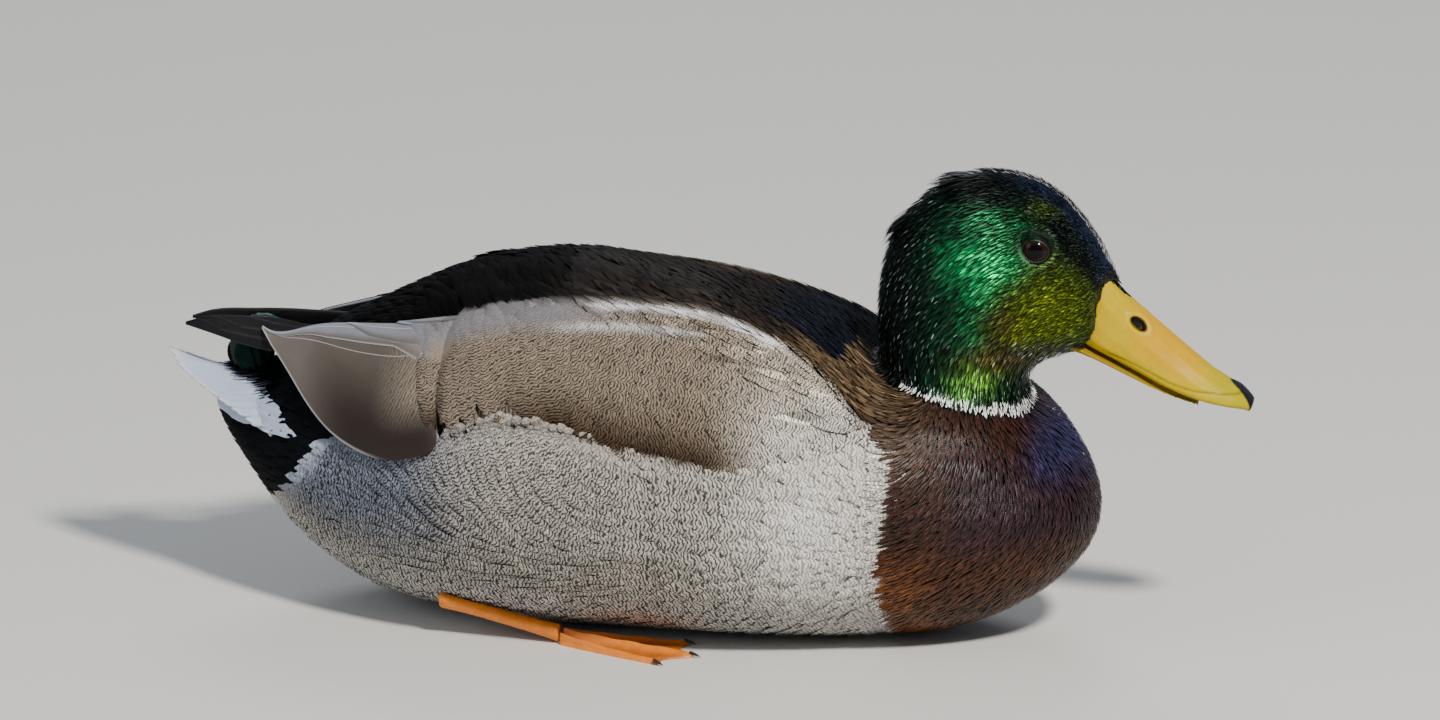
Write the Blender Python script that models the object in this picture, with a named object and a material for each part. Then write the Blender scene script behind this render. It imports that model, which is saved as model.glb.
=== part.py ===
"""A drake mallard at rest on its belly, as a still, life-size model.

The body is lofted through a few cross-sections. Each cross-section joins a point on the upper outline to a point
on the lower one, so the side view is the outline itself, and its half width gives the view from above.
+X points to the breast, +Y to the bird's left and +Z up. The origin lies on the floor under the belly.
All sizes are in millimetres, and the objects are made in metres.
"""

import math
from collections import namedtuple

import bmesh
import bpy
import numpy as np
from mathutils import Matrix

MM = 0.001
GAP = 0.35  # clear space between two pieces that touch

# The bird's main sizes.
NECK_X = 95.0  # the upright axis that the head turns about
NECK_SHIFT = -6.0  # the head's shift sideways, to the bird's right where it is below 0
HEAD_TURN = 8.0  # degrees, to the bird's left
EYE_RADIUS = 5.8
EYE_AHEAD = 34.2  # of the neck's axis
EYE_HEIGHT = 147.6
EYE_OUT = 15.6  # from the head's middle plane to the eyeball's centre
BELLY_SINK = 1.2  # how much of the belly's curve is pressed flat against the floor

# Steps of the meshes.
TRUNK_SIDES, RUMP_STEPS, TRUNK_STEPS, BREAST_STEPS = 27, 10, 18, 12
HEAD_SIDES, NECK_STEPS, HEAD_STEPS = 24, 8, 15
TAIL_STEPS, TAIL_COLUMNS = 7, 19
FOOT_STEPS, FOOT_COLUMNS = 8, 13
BILL_STEPS, BILL_SIDES = 12, 16
STRIP_ROWS, STRIP_COLUMNS = 18, 7
WING_TIP_STEPS, WING_TIP_SIDES = 14, 10
CURL_STEPS, CURL_COLUMNS = 20, 3
LEG_STEPS, LEG_SIDES = 8, 10

# A cross-section: its highest and lowest point, seen from the side, its half width, how far down it is widest,
# and how full it is above and below that: 2 is an ellipse, less is sharper and more is squarer.
Section = namedtuple("Section", "top_x top_z low_x low_z half_width widest above below")

TRUNK = np.array([
    Section(-176, 72.0, -176, 72.0, 0.0, 0.50, 2.0, 2.0),  # end of the undertail coverts
    Section(-170, 76.0, -173, 64.0, 12.0, 0.50, 2.0, 2.0),
    Section(-157, 78.0, -161, 46.0, 22.5, 0.50, 2.0, 2.0),  # base of the tail
    Section(-134, 99.5, -138, 20.0, 40.0, 0.52, 1.8, 2.0),  # rump
    Section(-112, 111.8, -114, 6.5, 54.0, 0.52, 1.7, 2.1),
    Section(-82, 125.8, -84, 0.6, 69.0, 0.52, 1.7, 2.2),
    Section(-46, 133.4, -46, -BELLY_SINK, 77.0, 0.52, 1.7, 2.3),  # hump of the back
    Section(-5, 129.0, -5, -BELLY_SINK, 78.0, 0.52, 1.8, 2.3),
    Section(33, 120.0, 34, -BELLY_SINK, 73.5, 0.52, 2.1, 2.3),
    Section(57, 110.5, 58, -0.9, 67.0, 0.50, 2.5, 2.2),  # shoulders
    Section(77, 99.5, 79, 0.2, 60.0, 0.46, 2.8, 2.1),  # hollow behind the neck
    Section(99, 98.0, 101, 3.4, 52.5, 0.44, 2.7, 2.1),
    Section(120, 93.5, 122, 12.0, 42.5, 0.48, 2.4, 2.0),  # foot of the neck
    Section(137.5, 80.0, 138, 23.5, 29.5, 0.50, 2.0, 2.0),
    Section(148.4, 61.0, 148.6, 37.0, 15.0, 0.50, 2.0, 2.0),
    Section(151.5, 48.5, 151.5, 48.5, 0.0, 0.50, 2.0, 2.0),  # foremost point of the breast
])
TAIL_CUT_X = -121.0  # rump from trunk
BREAST_CUT_X = 88.0  # trunk from breast

# The neck and head, with x counted from NECK_X in the head's own turned plane.
HEAD = np.array([
    Section(-27.0, 72.0, 40.0, 72.0, 32.0, 0.50, 2.0, 2.0),  # inside the breast
    Section(-20.5, 90.0, 33.5, 88.5, 26.5, 0.50, 2.0, 2.0),  # collar
    Section(-23.5, 110.0, 30.6, 95.2, 24.6, 0.48, 2.0, 2.0),  # nape to throat
    Section(-23.6, 125.0, 32.6, 100.2, 24.6, 0.47, 2.0, 2.0),
    Section(-17.5, 151.0, 37.8, 103.2, 24.4, 0.49, 2.0, 2.0),  # cheeks
    Section(8.0, 171.9, 42.0, 104.7, 23.0, 0.49, 2.0, 2.0),  # crown to chin
    Section(37.0, 168.2, 45.2, 105.4, 19.8, 0.50, 1.9, 2.1),  # forehead
    Section(53.0, 153.0, 47.8, 105.9, 16.0, 0.58, 1.8, 2.2),
    Section(61.2, 138.4, 50.2, 106.4, 13.4, 0.64, 1.55, 2.4),  # the bill's lobes reach back to here
    Section(65.8, 129.2, 52.6, 106.9, 8.4, 0.72, 1.2, 2.4),  # the feathers' point on the bill
])
TURN_STARTS, TURN_ENDS = 0.0, 4.0  # cross-sections between which the neck twists
NECK_CUT = 2.5  # neck from head, counted in cross-sections

BILL_UPPER = np.array([
    Section(58.6, 136.0, 45.8, 112.6, 8.8, 0.62, 3.0, 3.0),  # base, inside the head
    Section(63.0, 130.4, 52.4, 109.2, 10.2, 0.62, 2.7, 3.2),  # lobes
    Section(74.8, 120.2, 66.8, 101.9, 9.7, 0.70, 2.1, 3.4),  # nostrils
    Section(89.0, 108.0, 81.2, 94.7, 10.4, 0.78, 1.9, 3.4),
    Section(98.8, 99.8, 92.6, 91.0, 11.6, 0.80, 1.9, 3.2),  # broadest, near the tip
    Section(107.2, 94.6, 103.2, 88.4, 9.8, 0.74, 2.0, 2.8),
    Section(111.0, 90.4, 109.6, 86.6, 5.0, 0.60, 2.0, 2.2),  # nail
])
BILL_LOWER = np.array([  # in the same planes
    Section(45.5, 111.9, 44.6, 107.6, 8.4, 0.35, 3.0, 2.0),
    Section(52.0, 108.5, 51.2, 105.9, 9.2, 0.35, 3.0, 2.0),
    Section(66.4, 101.2, 65.7, 99.3, 9.0, 0.35, 3.0, 2.0),
    Section(80.9, 94.1, 80.4, 92.4, 9.4, 0.35, 3.0, 2.0),
    Section(92.2, 90.3, 91.9, 89.3, 9.2, 0.35, 3.0, 2.0),
])

# A strip of plumage that lies on the trunk: where it is along the body, the angles from the top of the body at
# which it starts and ends, how far its outer face stands off the trunk, how far its rear is raised, and how
# far it stands clear beneath.
Strip = namedtuple("Strip", "x start end stand_off rise clear")

WING = np.array([
    Strip(-75.0, 35, 73.5, 4.4, 0.0, 0.0),
    Strip(-52.0, 31.5, 68.5, 4.8, 0.0, 0.0),
    Strip(-20.0, 26, 69.5, 4.8, 0.0, 0.0),
    Strip(18.0, 20.5, 72, 4.4, 0.0, 0.0),
    Strip(42.0, 25, 73, 4.4, 0.0, 0.0),
    Strip(62.0, 34, 66, 4.0, 0.0, 0.0),
    Strip(75.0, 44, 55, 2.2, 0.0, 0.0),
])
TERTIALS = np.array([
    Strip(-75.6, 35, 77, 4.4, 0.0, 0.2),
    Strip(-94.0, 34.5, 80.0, 4.4, 0.0, 0.8),
    Strip(-108.0, 30, 76, 4.2, 0.0, 1.2),
    Strip(-121.0, 25, 69.5, 4.0, 0.4, 1.6),
    Strip(-132.0, 21, 60.5, 3.8, 1.8, 1.6),
    Strip(-143.0, 22, 47.0, 3.6, 6.8, 1.8),
    Strip(-150.0, 22, 36.0, 3.2, 12.4, 1.6),
    Strip(-156.5, 22, 25.0, 2.6, 19.4, 1.2),
])
WING_EDGE, TERTIALS_EDGE = 1.2, 0.9  # how thick they are along their borders

# The folded flight feathers, as a thin blade: outline from the side, and how far its middle is from the body's.
WING_TIP = np.array([
    Section(-140.0, 101.0, -140.0, 92.5, 1.3, 0.5, 2.0, 2.0),
    Section(-150.0, 101.8, -149.0, 91.0, 1.5, 0.5, 2.0, 2.0),
    Section(-164.0, 101.5, -161.0, 91.8, 1.4, 0.5, 2.0, 2.0),
    Section(-178.0, 100.4, -176.0, 95.0, 1.0, 0.5, 2.0, 2.0),
    Section(-186.5, 97.6, -186.5, 96.8, 0.4, 0.5, 2.0, 2.0),
])
WING_TIP_OUT = (12.5, 4.5)  # at its root and at its tip
WING_TIP_LEAN = 0.6  # how far it leans in for each unit of height

TAIL_ROOT_X, TAIL_TIP_X = -136.0, -195.0
TAIL_FEATHERS = 9
CURL_X, CURL_Y, CURL_Z = -158.0, 2.3, 90.2  # middle of the curled feathers over the tail
CURL_RADIUS, CURL_HALF_WIDTH = 11.9, 1.9
CURL_THICK, CURL_THIN = 5.6, 1.0  # at its root, where several feathers lie together, and at its tip
CURL_START, CURL_TURN = 219, 208  # degrees: from the tail up behind, over and forwards

TOE_LENGTH = 50.0
FOOT_X, FOOT_Y = -34.0, 49.0  # the back of the toes
FOOT_SPLAY = 9.0  # degrees outwards
ANKLE = (-79.0, 51.0, 14.0)  # where the leg leaves the belly
LEG_RADIUS, JOINT_SWELL = 2.7, 0.7


def clear_scene():
    for obj in list(bpy.data.objects):
        bpy.data.objects.remove(obj)


def material(name, colour, roughness, metallic=0.0):
    made = bpy.data.materials.new(name)
    made.use_nodes = True
    shader = made.node_tree.nodes["Principled BSDF"]
    shader.inputs["Base Color"].default_value = (*colour, 1.0)
    shader.inputs["Roughness"].default_value = roughness
    shader.inputs["Metallic"].default_value = metallic
    return made


def smooth_rows(rows, at):
    """Rows of numbers read between one row and the next on a smooth curve, where 1.5 is halfway from the second
    row to the third. The slopes allow for rows that are unevenly spaced."""
    rows = np.asarray(rows, float)
    gaps = np.maximum(np.linalg.norm(np.diff(rows, axis=0), axis=1), 1e-6)
    knots = np.concatenate([[0.0], np.cumsum(gaps)])
    slopes = np.gradient(rows, knots, axis=0)
    at = np.clip(np.atleast_1d(at).astype(float), 0, len(rows) - 1)
    low = np.minimum(at.astype(int), len(rows) - 2)
    share = (at - low)[:, None]
    span = gaps[low][:, None]
    return (
        rows[low] * (1 + 2 * share) * (1 - share) ** 2
        + slopes[low] * span * share * (1 - share) ** 2
        + rows[low + 1] * share**2 * (3 - 2 * share)
        + slopes[low + 1] * span * share**2 * (share - 1)
    )


def even_steps(rows, count, first=0.0, last=None):
    """Places along the rows between which the surface runs about as far each time."""
    last = len(rows) - 1 if last is None else last
    fine = np.linspace(first, last, 400)
    moved = np.linalg.norm(np.diff(smooth_rows(rows, fine)[:, :5], axis=0), axis=1)
    along = np.concatenate([[0.0], np.cumsum(moved)])
    return np.interp(np.linspace(0, along[-1], count), along, fine)


def round_section(row, angles):
    """Points of one cross-section, at angles from its top in degrees, to the bird's left."""
    row = Section(*row)
    turned = np.radians(np.asarray(angles, float))
    up, out = np.cos(turned), np.sin(turned)
    power = 2 / np.where(up >= 0, row.above, row.below)
    height = np.sign(up) * np.abs(up) ** power
    top = np.array([row.top_x, row.top_z])
    low = np.array([row.low_x, row.low_z])
    middle = top + row.widest * (low - top)
    reach = np.where(height[:, None] >= 0, (top - middle) * height[:, None], (low - middle) * -height[:, None])
    side = row.half_width * np.sign(out) * np.abs(out) ** power
    return np.stack([middle[0] + reach[:, 0], side, middle[1] + reach[:, 1]], axis=1)


def ring_angles(sides):
    return np.arange(sides) * 360 / sides


def mesh_object(name, points, faces, look):
    """One named object from points in millimetres, with its faces turned outwards."""
    mesh = bpy.data.meshes.new(name)
    mesh.from_pydata([tuple(point) for point in np.asarray(points) * MM], [], faces)
    work = bmesh.new()
    work.from_mesh(mesh)
    bmesh.ops.remove_doubles(work, verts=work.verts, dist=1e-6)
    bmesh.ops.recalc_face_normals(work, faces=work.faces)
    if work.calc_volume(signed=True) < 0:
        bmesh.ops.reverse_faces(work, faces=work.faces)
    work.to_mesh(mesh)
    work.free()
    if look is not None:
        mesh.materials.append(look)
    mesh.shade_smooth()
    mesh.set_sharp_from_angle(angle=math.radians(40))
    obj = bpy.data.objects.new(name, mesh)
    bpy.context.scene.collection.objects.link(obj)
    return obj


def tube_faces(rings, sides):
    """Faces of a tube of rings, closed by one face at each end."""
    faces = []
    for ring in range(rings - 1):
        for side in range(sides):
            after = (side + 1) % sides
            a, b = ring * sides, (ring + 1) * sides
            faces.append((a + side, a + after, b + after, b + side))
    faces.append(tuple(range(sides))[::-1])
    faces.append(tuple((rings - 1) * sides + side for side in range(sides)))
    return faces


def loft(name, rows, places, sides, look, place_point=None):
    """A closed body through cross-sections. place_point(points, place) moves each ring to where it belongs."""
    rings = []
    for place, row in zip(places, smooth_rows(rows, places)):
        points = round_section(row, ring_angles(sides))
        rings.append(points if place_point is None else place_point(points, place))
    return mesh_object(name, np.concatenate(rings), tube_faces(len(rings), sides), look)


def swollen_rows(rows):
    """The same cross-sections, larger all round by the gap between pieces."""
    rows = rows.copy()
    tall = rows[:, :2] - rows[:, 2:4]
    away = tall / np.maximum(np.linalg.norm(tall, axis=1), 1e-6)[:, None] * GAP
    rows[:, :2] += away
    rows[:, 2:4] -= away
    rows[:, 4] += GAP
    return rows


def cut(obj, cutter):
    """Takes cutter's space out of obj, for good."""
    modifier = obj.modifiers.new("cut", "BOOLEAN")
    modifier.operation = "DIFFERENCE"
    modifier.solver = "EXACT"
    modifier.object = cutter
    graph = bpy.context.evaluated_depsgraph_get()
    made = bpy.data.meshes.new_from_object(obj.evaluated_get(graph))
    obj.modifiers.clear()
    obj.data = made


def discard(*objects):
    for obj in objects:
        bpy.data.objects.remove(obj)


def mirrored(point_sets, side):
    """The same points on the bird's left (1) or right (-1)."""
    return np.asarray(point_sets) * np.array([1.0, side, 1.0])


# The trunk.


def trunk_place(x):
    """Which place between cross-sections has its middle at x."""
    fine = np.linspace(0, len(TRUNK) - 1, 600)
    rows = smooth_rows(TRUNK, fine)
    return np.interp(x, (rows[:, 0] + rows[:, 2]) / 2, fine)


def flattened(points, _place=None):
    """The belly pressed flat where it meets the floor."""
    points = points.copy()
    points[:, 2] = np.maximum(points[:, 2], 0.0)
    return points


def trunk_point(x, angle, lift=0.0):
    """A point of the trunk's surface at x, at an angle from its top, lifted off it along its normal."""
    place = trunk_place(x)

    def at(where, turn):
        return round_section(smooth_rows(TRUNK, where)[0], [turn])[0]

    point = at(place, angle)
    along = at(place + 0.02, angle) - at(place - 0.02, angle)
    around = at(place, angle + 0.5) - at(place, angle - 0.5)
    normal = np.cross(around, along)
    normal = normal / np.linalg.norm(normal)
    if normal[1] < 0:
        normal = -normal
    return point + normal * lift


def trunk_lengths():
    """The places of the cross-sections of each of the trunk's three lengths, which thin cuts part."""
    rump_end, breast_start = trunk_place(TAIL_CUT_X), trunk_place(BREAST_CUT_X)
    half_gap = GAP / 2 / 25  # in cross-sections, which are about 25 mm apart there
    last = len(TRUNK) - 1
    return {
        "rump": even_steps(TRUNK, RUMP_STEPS, 0.12, rump_end - half_gap),
        "trunk": even_steps(TRUNK, TRUNK_STEPS, rump_end + half_gap, breast_start - half_gap),
        "breast": even_steps(TRUNK, BREAST_STEPS, breast_start + half_gap, last - 0.05),
    }


def make_trunk(looks):
    colours = {"rump": "black", "trunk": "grey", "breast": "chestnut"}
    for name, places in trunk_lengths().items():
        loft(name, TRUNK, places, TRUNK_SIDES, looks[colours[name]], flattened)


def trunk_cutter():
    """The whole trunk, swollen by the gap between pieces."""
    places = np.concatenate(list(trunk_lengths().values()))
    return loft("trunk_cutter", swollen_rows(TRUNK), places, TRUNK_SIDES, None)


def make_strip(name, rows, side, look, edge):
    """A closed strip of plumage on the trunk. It is thinnest, edge thick, along its upper and lower borders."""
    steps, across = STRIP_ROWS, STRIP_COLUMNS
    outer, inner = [], []
    for row in smooth_rows(rows, np.linspace(0, len(rows) - 1, steps)):
        row = Strip(*row)
        for share in np.linspace(0, 1, across):
            angle = row.start + share * (row.end - row.start)
            under = GAP + row.clear
            swell = math.sin(math.pi * share) ** 0.7
            thick = edge + max(row.stand_off - under - edge, 0.0) * swell
            lift = np.array([0.0, 0.0, row.rise])
            inner.append(trunk_point(row.x, angle, under) + lift)
            outer.append(trunk_point(row.x, angle, under + thick) + lift)
    count = steps * across
    faces = []
    for i in range(steps - 1):
        for j in range(across - 1):
            a, b = i * across + j, (i + 1) * across + j
            faces.append((a, a + 1, b + 1, b))
            faces.append((count + a, count + b, count + b + 1, count + a + 1))
    border = [j for j in range(across)]
    border += [i * across + across - 1 for i in range(1, steps)]
    border += [(steps - 1) * across + j for j in range(across - 2, -1, -1)]
    border += [i * across for i in range(steps - 2, 0, -1)]
    for a, b in zip(border, border[1:] + border[:1]):
        faces.append((a, b, count + b, count + a))
    points = mirrored(outer + inner, side)
    return mesh_object(name, points, faces, look)


def make_wings(looks):
    last = len(WING_TIP) - 1
    swollen_tertials = TERTIALS.copy()
    swollen_tertials[:, 3] += GAP
    swollen_tertials[:, 5] -= GAP
    for name, side in (("left", 1), ("right", -1)):
        make_strip(f"wing_{name}", WING, side, looks["grey"], WING_EDGE)
        make_strip(f"tertials_{name}", TERTIALS, side, looks["brown"], TERTIALS_EDGE)

        def placed(points, place, side=side):
            root, tip = WING_TIP_OUT
            middle = points[:, 2].mean()
            out = root + (tip - root) * (place / last) ** 0.8 - WING_TIP_LEAN * (points[:, 2] - middle)
            points = points + np.stack([0 * out, out, 0 * out], axis=1)
            return mirrored(points, side)

        places = np.linspace(0, last, WING_TIP_STEPS)
        blade = loft(f"wing_tip_{name}", WING_TIP, places, WING_TIP_SIDES, looks["dark"], placed)
        shell = make_strip("shell_cutter", swollen_tertials, side, None, TERTIALS_EDGE + 2 * GAP)
        cut(blade, shell)
        discard(shell)


# The neck, head, bill and eyes.


def head_turned(points, place):
    """Puts the head's own plane where the turned and shifted neck carries it."""
    share = np.clip((place - TURN_STARTS) / (TURN_ENDS - TURN_STARTS), 0, 1)
    eased = share**2 * (3 - 2 * share)
    turn = math.radians(HEAD_TURN) * eased
    x, y = points[:, 0], points[:, 1]
    return np.stack(
        [
            NECK_X + x * math.cos(turn) - y * math.sin(turn),
            NECK_SHIFT * min(place, 1.0) + x * math.sin(turn) + y * math.cos(turn),
            points[:, 2],
        ],
        axis=1,
    )


def fully_turned(points, _place=None):
    return head_turned(points, TURN_ENDS)


def ball(name, centre, radius, look, sides=14, rings=8):
    mesh = bpy.data.meshes.new(name)
    work = bmesh.new()
    bmesh.ops.create_uvsphere(work, u_segments=sides, v_segments=rings, radius=radius * MM)
    work.to_mesh(mesh)
    work.free()
    mesh.transform(Matrix.Rotation(math.radians(90), 4, "X"))  # its poles sideways
    if look is not None:
        mesh.materials.append(look)
    mesh.shade_smooth()
    obj = bpy.data.objects.new(name, mesh)
    obj.location = [value * MM for value in centre]
    bpy.context.scene.collection.objects.link(obj)
    return obj


def make_head(looks):
    half_gap = GAP / 2 / 14  # in cross-sections, which are about 14 mm apart there
    last = len(HEAD) - 1
    neck_places = even_steps(HEAD, NECK_STEPS, 0.0, NECK_CUT - half_gap)
    neck = loft("neck", HEAD, neck_places, HEAD_SIDES, looks["green"], head_turned)
    head_places = even_steps(HEAD, HEAD_STEPS, NECK_CUT + half_gap, last)
    head = loft("head", HEAD, head_places, HEAD_SIDES, looks["green"], head_turned)
    body = trunk_cutter()
    cut(neck, body)
    discard(body)
    upper, lower = swollen_rows(BILL_UPPER)[:4], swollen_rows(BILL_LOWER)[:4]
    whole = np.concatenate([upper[:, :2], lower[:, 2:4], upper[:, 4:]], axis=1)
    for rows in (upper, whole, lower):
        bill = loft("bill_cutter", rows, np.linspace(0, len(rows) - 1, 8), BILL_SIDES, None, fully_turned)
        cut(head, bill)
        discard(bill)
    for name, side in (("left", 1), ("right", -1)):
        centre = fully_turned(np.array([[EYE_AHEAD, EYE_OUT * side, EYE_HEIGHT]]))[0]
        socket = ball("socket_cutter", centre, EYE_RADIUS + GAP, None)
        cut(head, socket)
        discard(socket)
        ball(f"eye_{name}", centre, EYE_RADIUS, looks["eye"])


def make_bill(looks):
    for name, rows in (("bill_upper", BILL_UPPER), ("bill_lower", BILL_LOWER)):
        places = np.linspace(0.08, len(rows) - 1, BILL_STEPS)
        loft(name, rows, places, BILL_SIDES, looks["yellow"], fully_turned)


# The tail, the curled feathers over it and the feet.


def plate(name, shape, steps, across, look, side=1):
    """A closed plate. shape(along, over) gives the points of its upper and lower face, for along from 0 to 1 and
    over from -1 to 1."""
    upper, lower = [], []
    for along in np.linspace(0, 1, steps):
        for over in np.linspace(-1, 1, across):
            top, bottom = shape(along, over)
            upper.append(top)
            lower.append(bottom)
    count = steps * across
    faces = []
    for i in range(steps - 1):
        for j in range(across - 1):
            a, b = i * across + j, (i + 1) * across + j
            faces.append((a, a + 1, b + 1, b))
            faces.append((count + a, count + b, count + b + 1, count + a + 1))
    border = [j for j in range(across)]
    border += [i * across + across - 1 for i in range(1, steps)]
    border += [(steps - 1) * across + j for j in range(across - 2, -1, -1)]
    border += [i * across for i in range(steps - 2, 0, -1)]
    for a, b in zip(border, border[1:] + border[:1]):
        faces.append((a, b, count + b, count + a))
    return mesh_object(name, mirrored(upper + lower, side), faces, look)


def tail_shape(along, over):
    """The tail as a pointed fan that droops to either side, its rear edge scalloped by the feathers' tips."""
    half_width = 24.0 + 8.0 * math.sin(math.pi * 0.5 * along)
    y = over * half_width
    scallop = abs(math.sin(over * math.pi * TAIL_FEATHERS / 2))
    length = TAIL_TIP_X - TAIL_ROOT_X + along * (42.0 * abs(over) ** 1.35 - 2.6 * scallop)
    x = TAIL_ROOT_X + along * length
    over_rump = 15.0 * math.exp(-((along / 0.2) ** 2))
    ridge = 80.2 + 4.6 * along**3 + over_rump
    droop = (13.0 + 2.0 * along) * abs(over) ** 1.2
    thick = 2.6 - 1.4 * along
    return (x, y, ridge - droop + thick / 2), (x, y, ridge - droop - thick / 2)


def make_tail(looks):
    tail = plate("tail", tail_shape, TAIL_STEPS, TAIL_COLUMNS, looks["white"])
    body = trunk_cutter()
    cut(tail, body)
    discard(body)


def curl_shape(along, over):
    """One curled feather: it rises behind, turns over forwards and tucks its tip in."""
    turn = math.radians(CURL_START - CURL_TURN * along)
    reach = CURL_RADIUS * (1 - 0.24 * along)
    half_width = CURL_HALF_WIDTH * (1 - along**3 * 0.55)
    y = CURL_Y + over * half_width
    outer, inner = reach, reach - CURL_THICK + (CURL_THICK - CURL_THIN) * along**0.8
    return (
        (CURL_X + outer * math.cos(turn), y, CURL_Z + outer * math.sin(turn)),
        (CURL_X + inner * math.cos(turn), y, CURL_Z + inner * math.sin(turn)),
    )


def make_curls(looks):
    for name, side in (("left", 1), ("right", -1)):
        plate(f"tail_curl_{name}", curl_shape, CURL_STEPS, CURL_COLUMNS, looks["black"], side)


def foot_shape(along, over):
    """A webbed foot lying flat: three toes fan out from the heel, with the web drawn in between their tips."""
    splay = math.radians(FOOT_SPLAY)
    half_width = 3.4 + 11.0 * along**0.85
    toe = math.cos(over * 2 * math.pi) * 0.5 + 0.5
    length = TOE_LENGTH * (1 - 0.16 * abs(over) ** 1.5 - 0.10 * (1 - toe))
    ahead, out = along * length, over * half_width
    x = FOOT_X + ahead * math.cos(splay) - out * math.sin(splay)
    y = FOOT_Y + ahead * math.sin(splay) + out * math.cos(splay)
    thick = 1.0 + (3.4 - 2.4 * along) * toe**2 + 1.0 * (1 - along) ** 3
    return (x, y, thick), (x, y, 0.0)


def make_legs(looks):
    heel = np.array([FOOT_X - 1.0 - GAP, FOOT_Y, 3.4])
    ankle = np.array(ANKLE)
    for name, side in (("left", 1), ("right", -1)):
        plate(f"foot_{name}", foot_shape, FOOT_STEPS, FOOT_COLUMNS, looks["orange"], side)
        rings = []
        for share in np.linspace(0, 1, LEG_STEPS):
            middle = heel + share * (ankle - heel)
            radius = LEG_RADIUS + JOINT_SWELL * abs(2 * share - 1) ** 3
            turned = np.radians(ring_angles(LEG_SIDES))
            circle = np.stack([0 * turned, radius * np.cos(turned), radius * np.sin(turned)], axis=1)
            rings.append(flattened(middle + circle))
        points = mirrored(np.concatenate(rings), side)
        leg = mesh_object(f"leg_{name}", points, tube_faces(len(rings), LEG_SIDES), looks["orange"])
        body = trunk_cutter()
        cut(leg, body)
        discard(body)


def main():
    clear_scene()
    looks = {
        "green": material("head_feathers", (0.02, 0.16, 0.06), 0.35, 0.3),
        "chestnut": material("breast_feathers", (0.11, 0.035, 0.02), 0.5),
        "grey": material("flank_feathers", (0.45, 0.40, 0.34), 0.75),
        "brown": material("tertial_feathers", (0.20, 0.16, 0.12), 0.55),
        "dark": material("flight_feathers", (0.04, 0.035, 0.03), 0.5),
        "black": material("rump_feathers", (0.008, 0.01, 0.012), 0.4),
        "white": material("tail_feathers", (0.72, 0.72, 0.74), 0.6),
        "yellow": material("bill_horn", (0.80, 0.58, 0.02), 0.3),
        "orange": material("foot_skin", (0.85, 0.25, 0.03), 0.5),
        "eye": material("eye_surface", (0.02, 0.012, 0.01), 0.05),
    }
    make_trunk(looks)
    make_wings(looks)
    make_head(looks)
    make_bill(looks)
    make_tail(looks)
    make_curls(looks)
    make_legs(looks)


main()
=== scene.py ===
"""Looks of a drake mallard at rest on its belly, as a still, life-size model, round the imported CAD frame.

Lengths in this script are in millimetres, as points are worked out in arrays, and meshes are made in metres.
+X points to the breast, +Y to the bird's left and +Z up. Angles round the trunk are in degrees from its top.
"""
import math

import bpy
import numpy as np
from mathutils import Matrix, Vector
from mathutils.bvhtree import BVHTree


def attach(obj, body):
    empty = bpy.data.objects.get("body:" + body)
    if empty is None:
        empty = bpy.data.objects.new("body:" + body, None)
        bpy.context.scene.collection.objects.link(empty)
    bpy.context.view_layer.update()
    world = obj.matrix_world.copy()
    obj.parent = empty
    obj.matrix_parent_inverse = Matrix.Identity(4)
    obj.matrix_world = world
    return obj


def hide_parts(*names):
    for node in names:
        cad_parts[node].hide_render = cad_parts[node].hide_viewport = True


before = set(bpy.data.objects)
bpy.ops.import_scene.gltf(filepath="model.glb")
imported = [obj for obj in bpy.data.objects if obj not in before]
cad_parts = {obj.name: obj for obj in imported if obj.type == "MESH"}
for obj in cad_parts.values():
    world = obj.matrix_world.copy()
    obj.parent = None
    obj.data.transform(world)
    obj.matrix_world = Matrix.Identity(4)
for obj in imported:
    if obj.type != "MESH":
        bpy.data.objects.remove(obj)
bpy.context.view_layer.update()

MM = 0.001
BODY = "root"
FLESH = ("trunk", "breast", "rump", "neck", "head", "wing_left", "wing_right")
SIDES = (("left", 1.0), ("right", -1.0))
FAR = 300.0  # where rays start, clear of the model

# The head turns about an upright axis through the neck.
NECK_X, NECK_SHIFT, HEAD_TURN = 95.0, -6.0, math.radians(8.0)
EYE = (34.2, 15.6, 147.6)  # ahead of the neck's axis, out from the head's middle, up
EYE_RADIUS = 5.8


# Numbers.


def unit(vectors):
    return vectors / np.maximum(np.linalg.norm(vectors, axis=-1, keepdims=True), 1e-9)


def ramp(value, start, end):
    """0 before start and 1 after end, eased in between. start may be above end."""
    share = np.clip((value - start) / (end - start), 0, 1)
    return share * share * (3 - 2 * share)


def bell(value, width):
    """1 where the value is 0, fading out to both sides over width."""
    return np.exp(-((value / width) ** 2))


def blob(points, centre, size):
    """1 at the centre, fading out over size in each direction."""
    away = (points - np.array(centre)) / np.array(size)
    return np.exp(-(away**2).sum(axis=1))


def mix(first, second, share):
    """Rows of colours from first to second."""
    share = np.asarray(share)[:, None]
    return np.asarray(first) * (1 - share) + np.asarray(second) * share


def flattened(vectors, normals):
    """The vectors' direction along the surface."""
    return unit(vectors - (vectors * normals).sum(axis=1, keepdims=True) * normals)


def grid_places(rows, columns):
    """Each row's place paired with each column's, row by row."""
    return np.stack(np.meshgrid(rows, columns, indexing="ij"), axis=-1).reshape(-1, 2)


# Meshes.


def read_mesh(mesh):
    """A mesh's points in millimetres and its triangles."""
    points = np.empty(len(mesh.vertices) * 3)
    mesh.vertices.foreach_get("co", points)
    mesh.calc_loop_triangles()
    triangles = np.empty(len(mesh.loop_triangles) * 3, int)
    mesh.loop_triangles.foreach_get("vertices", triangles)
    return points.reshape(-1, 3) / MM, triangles.reshape(-1, 3)


def join_arrays(parts):
    points, faces, start = [], [], 0
    for some_points, some_faces in parts:
        points.append(some_points)
        faces.append(some_faces + start)
        start += len(some_points)
    return np.concatenate(points), np.concatenate(faces)


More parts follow.
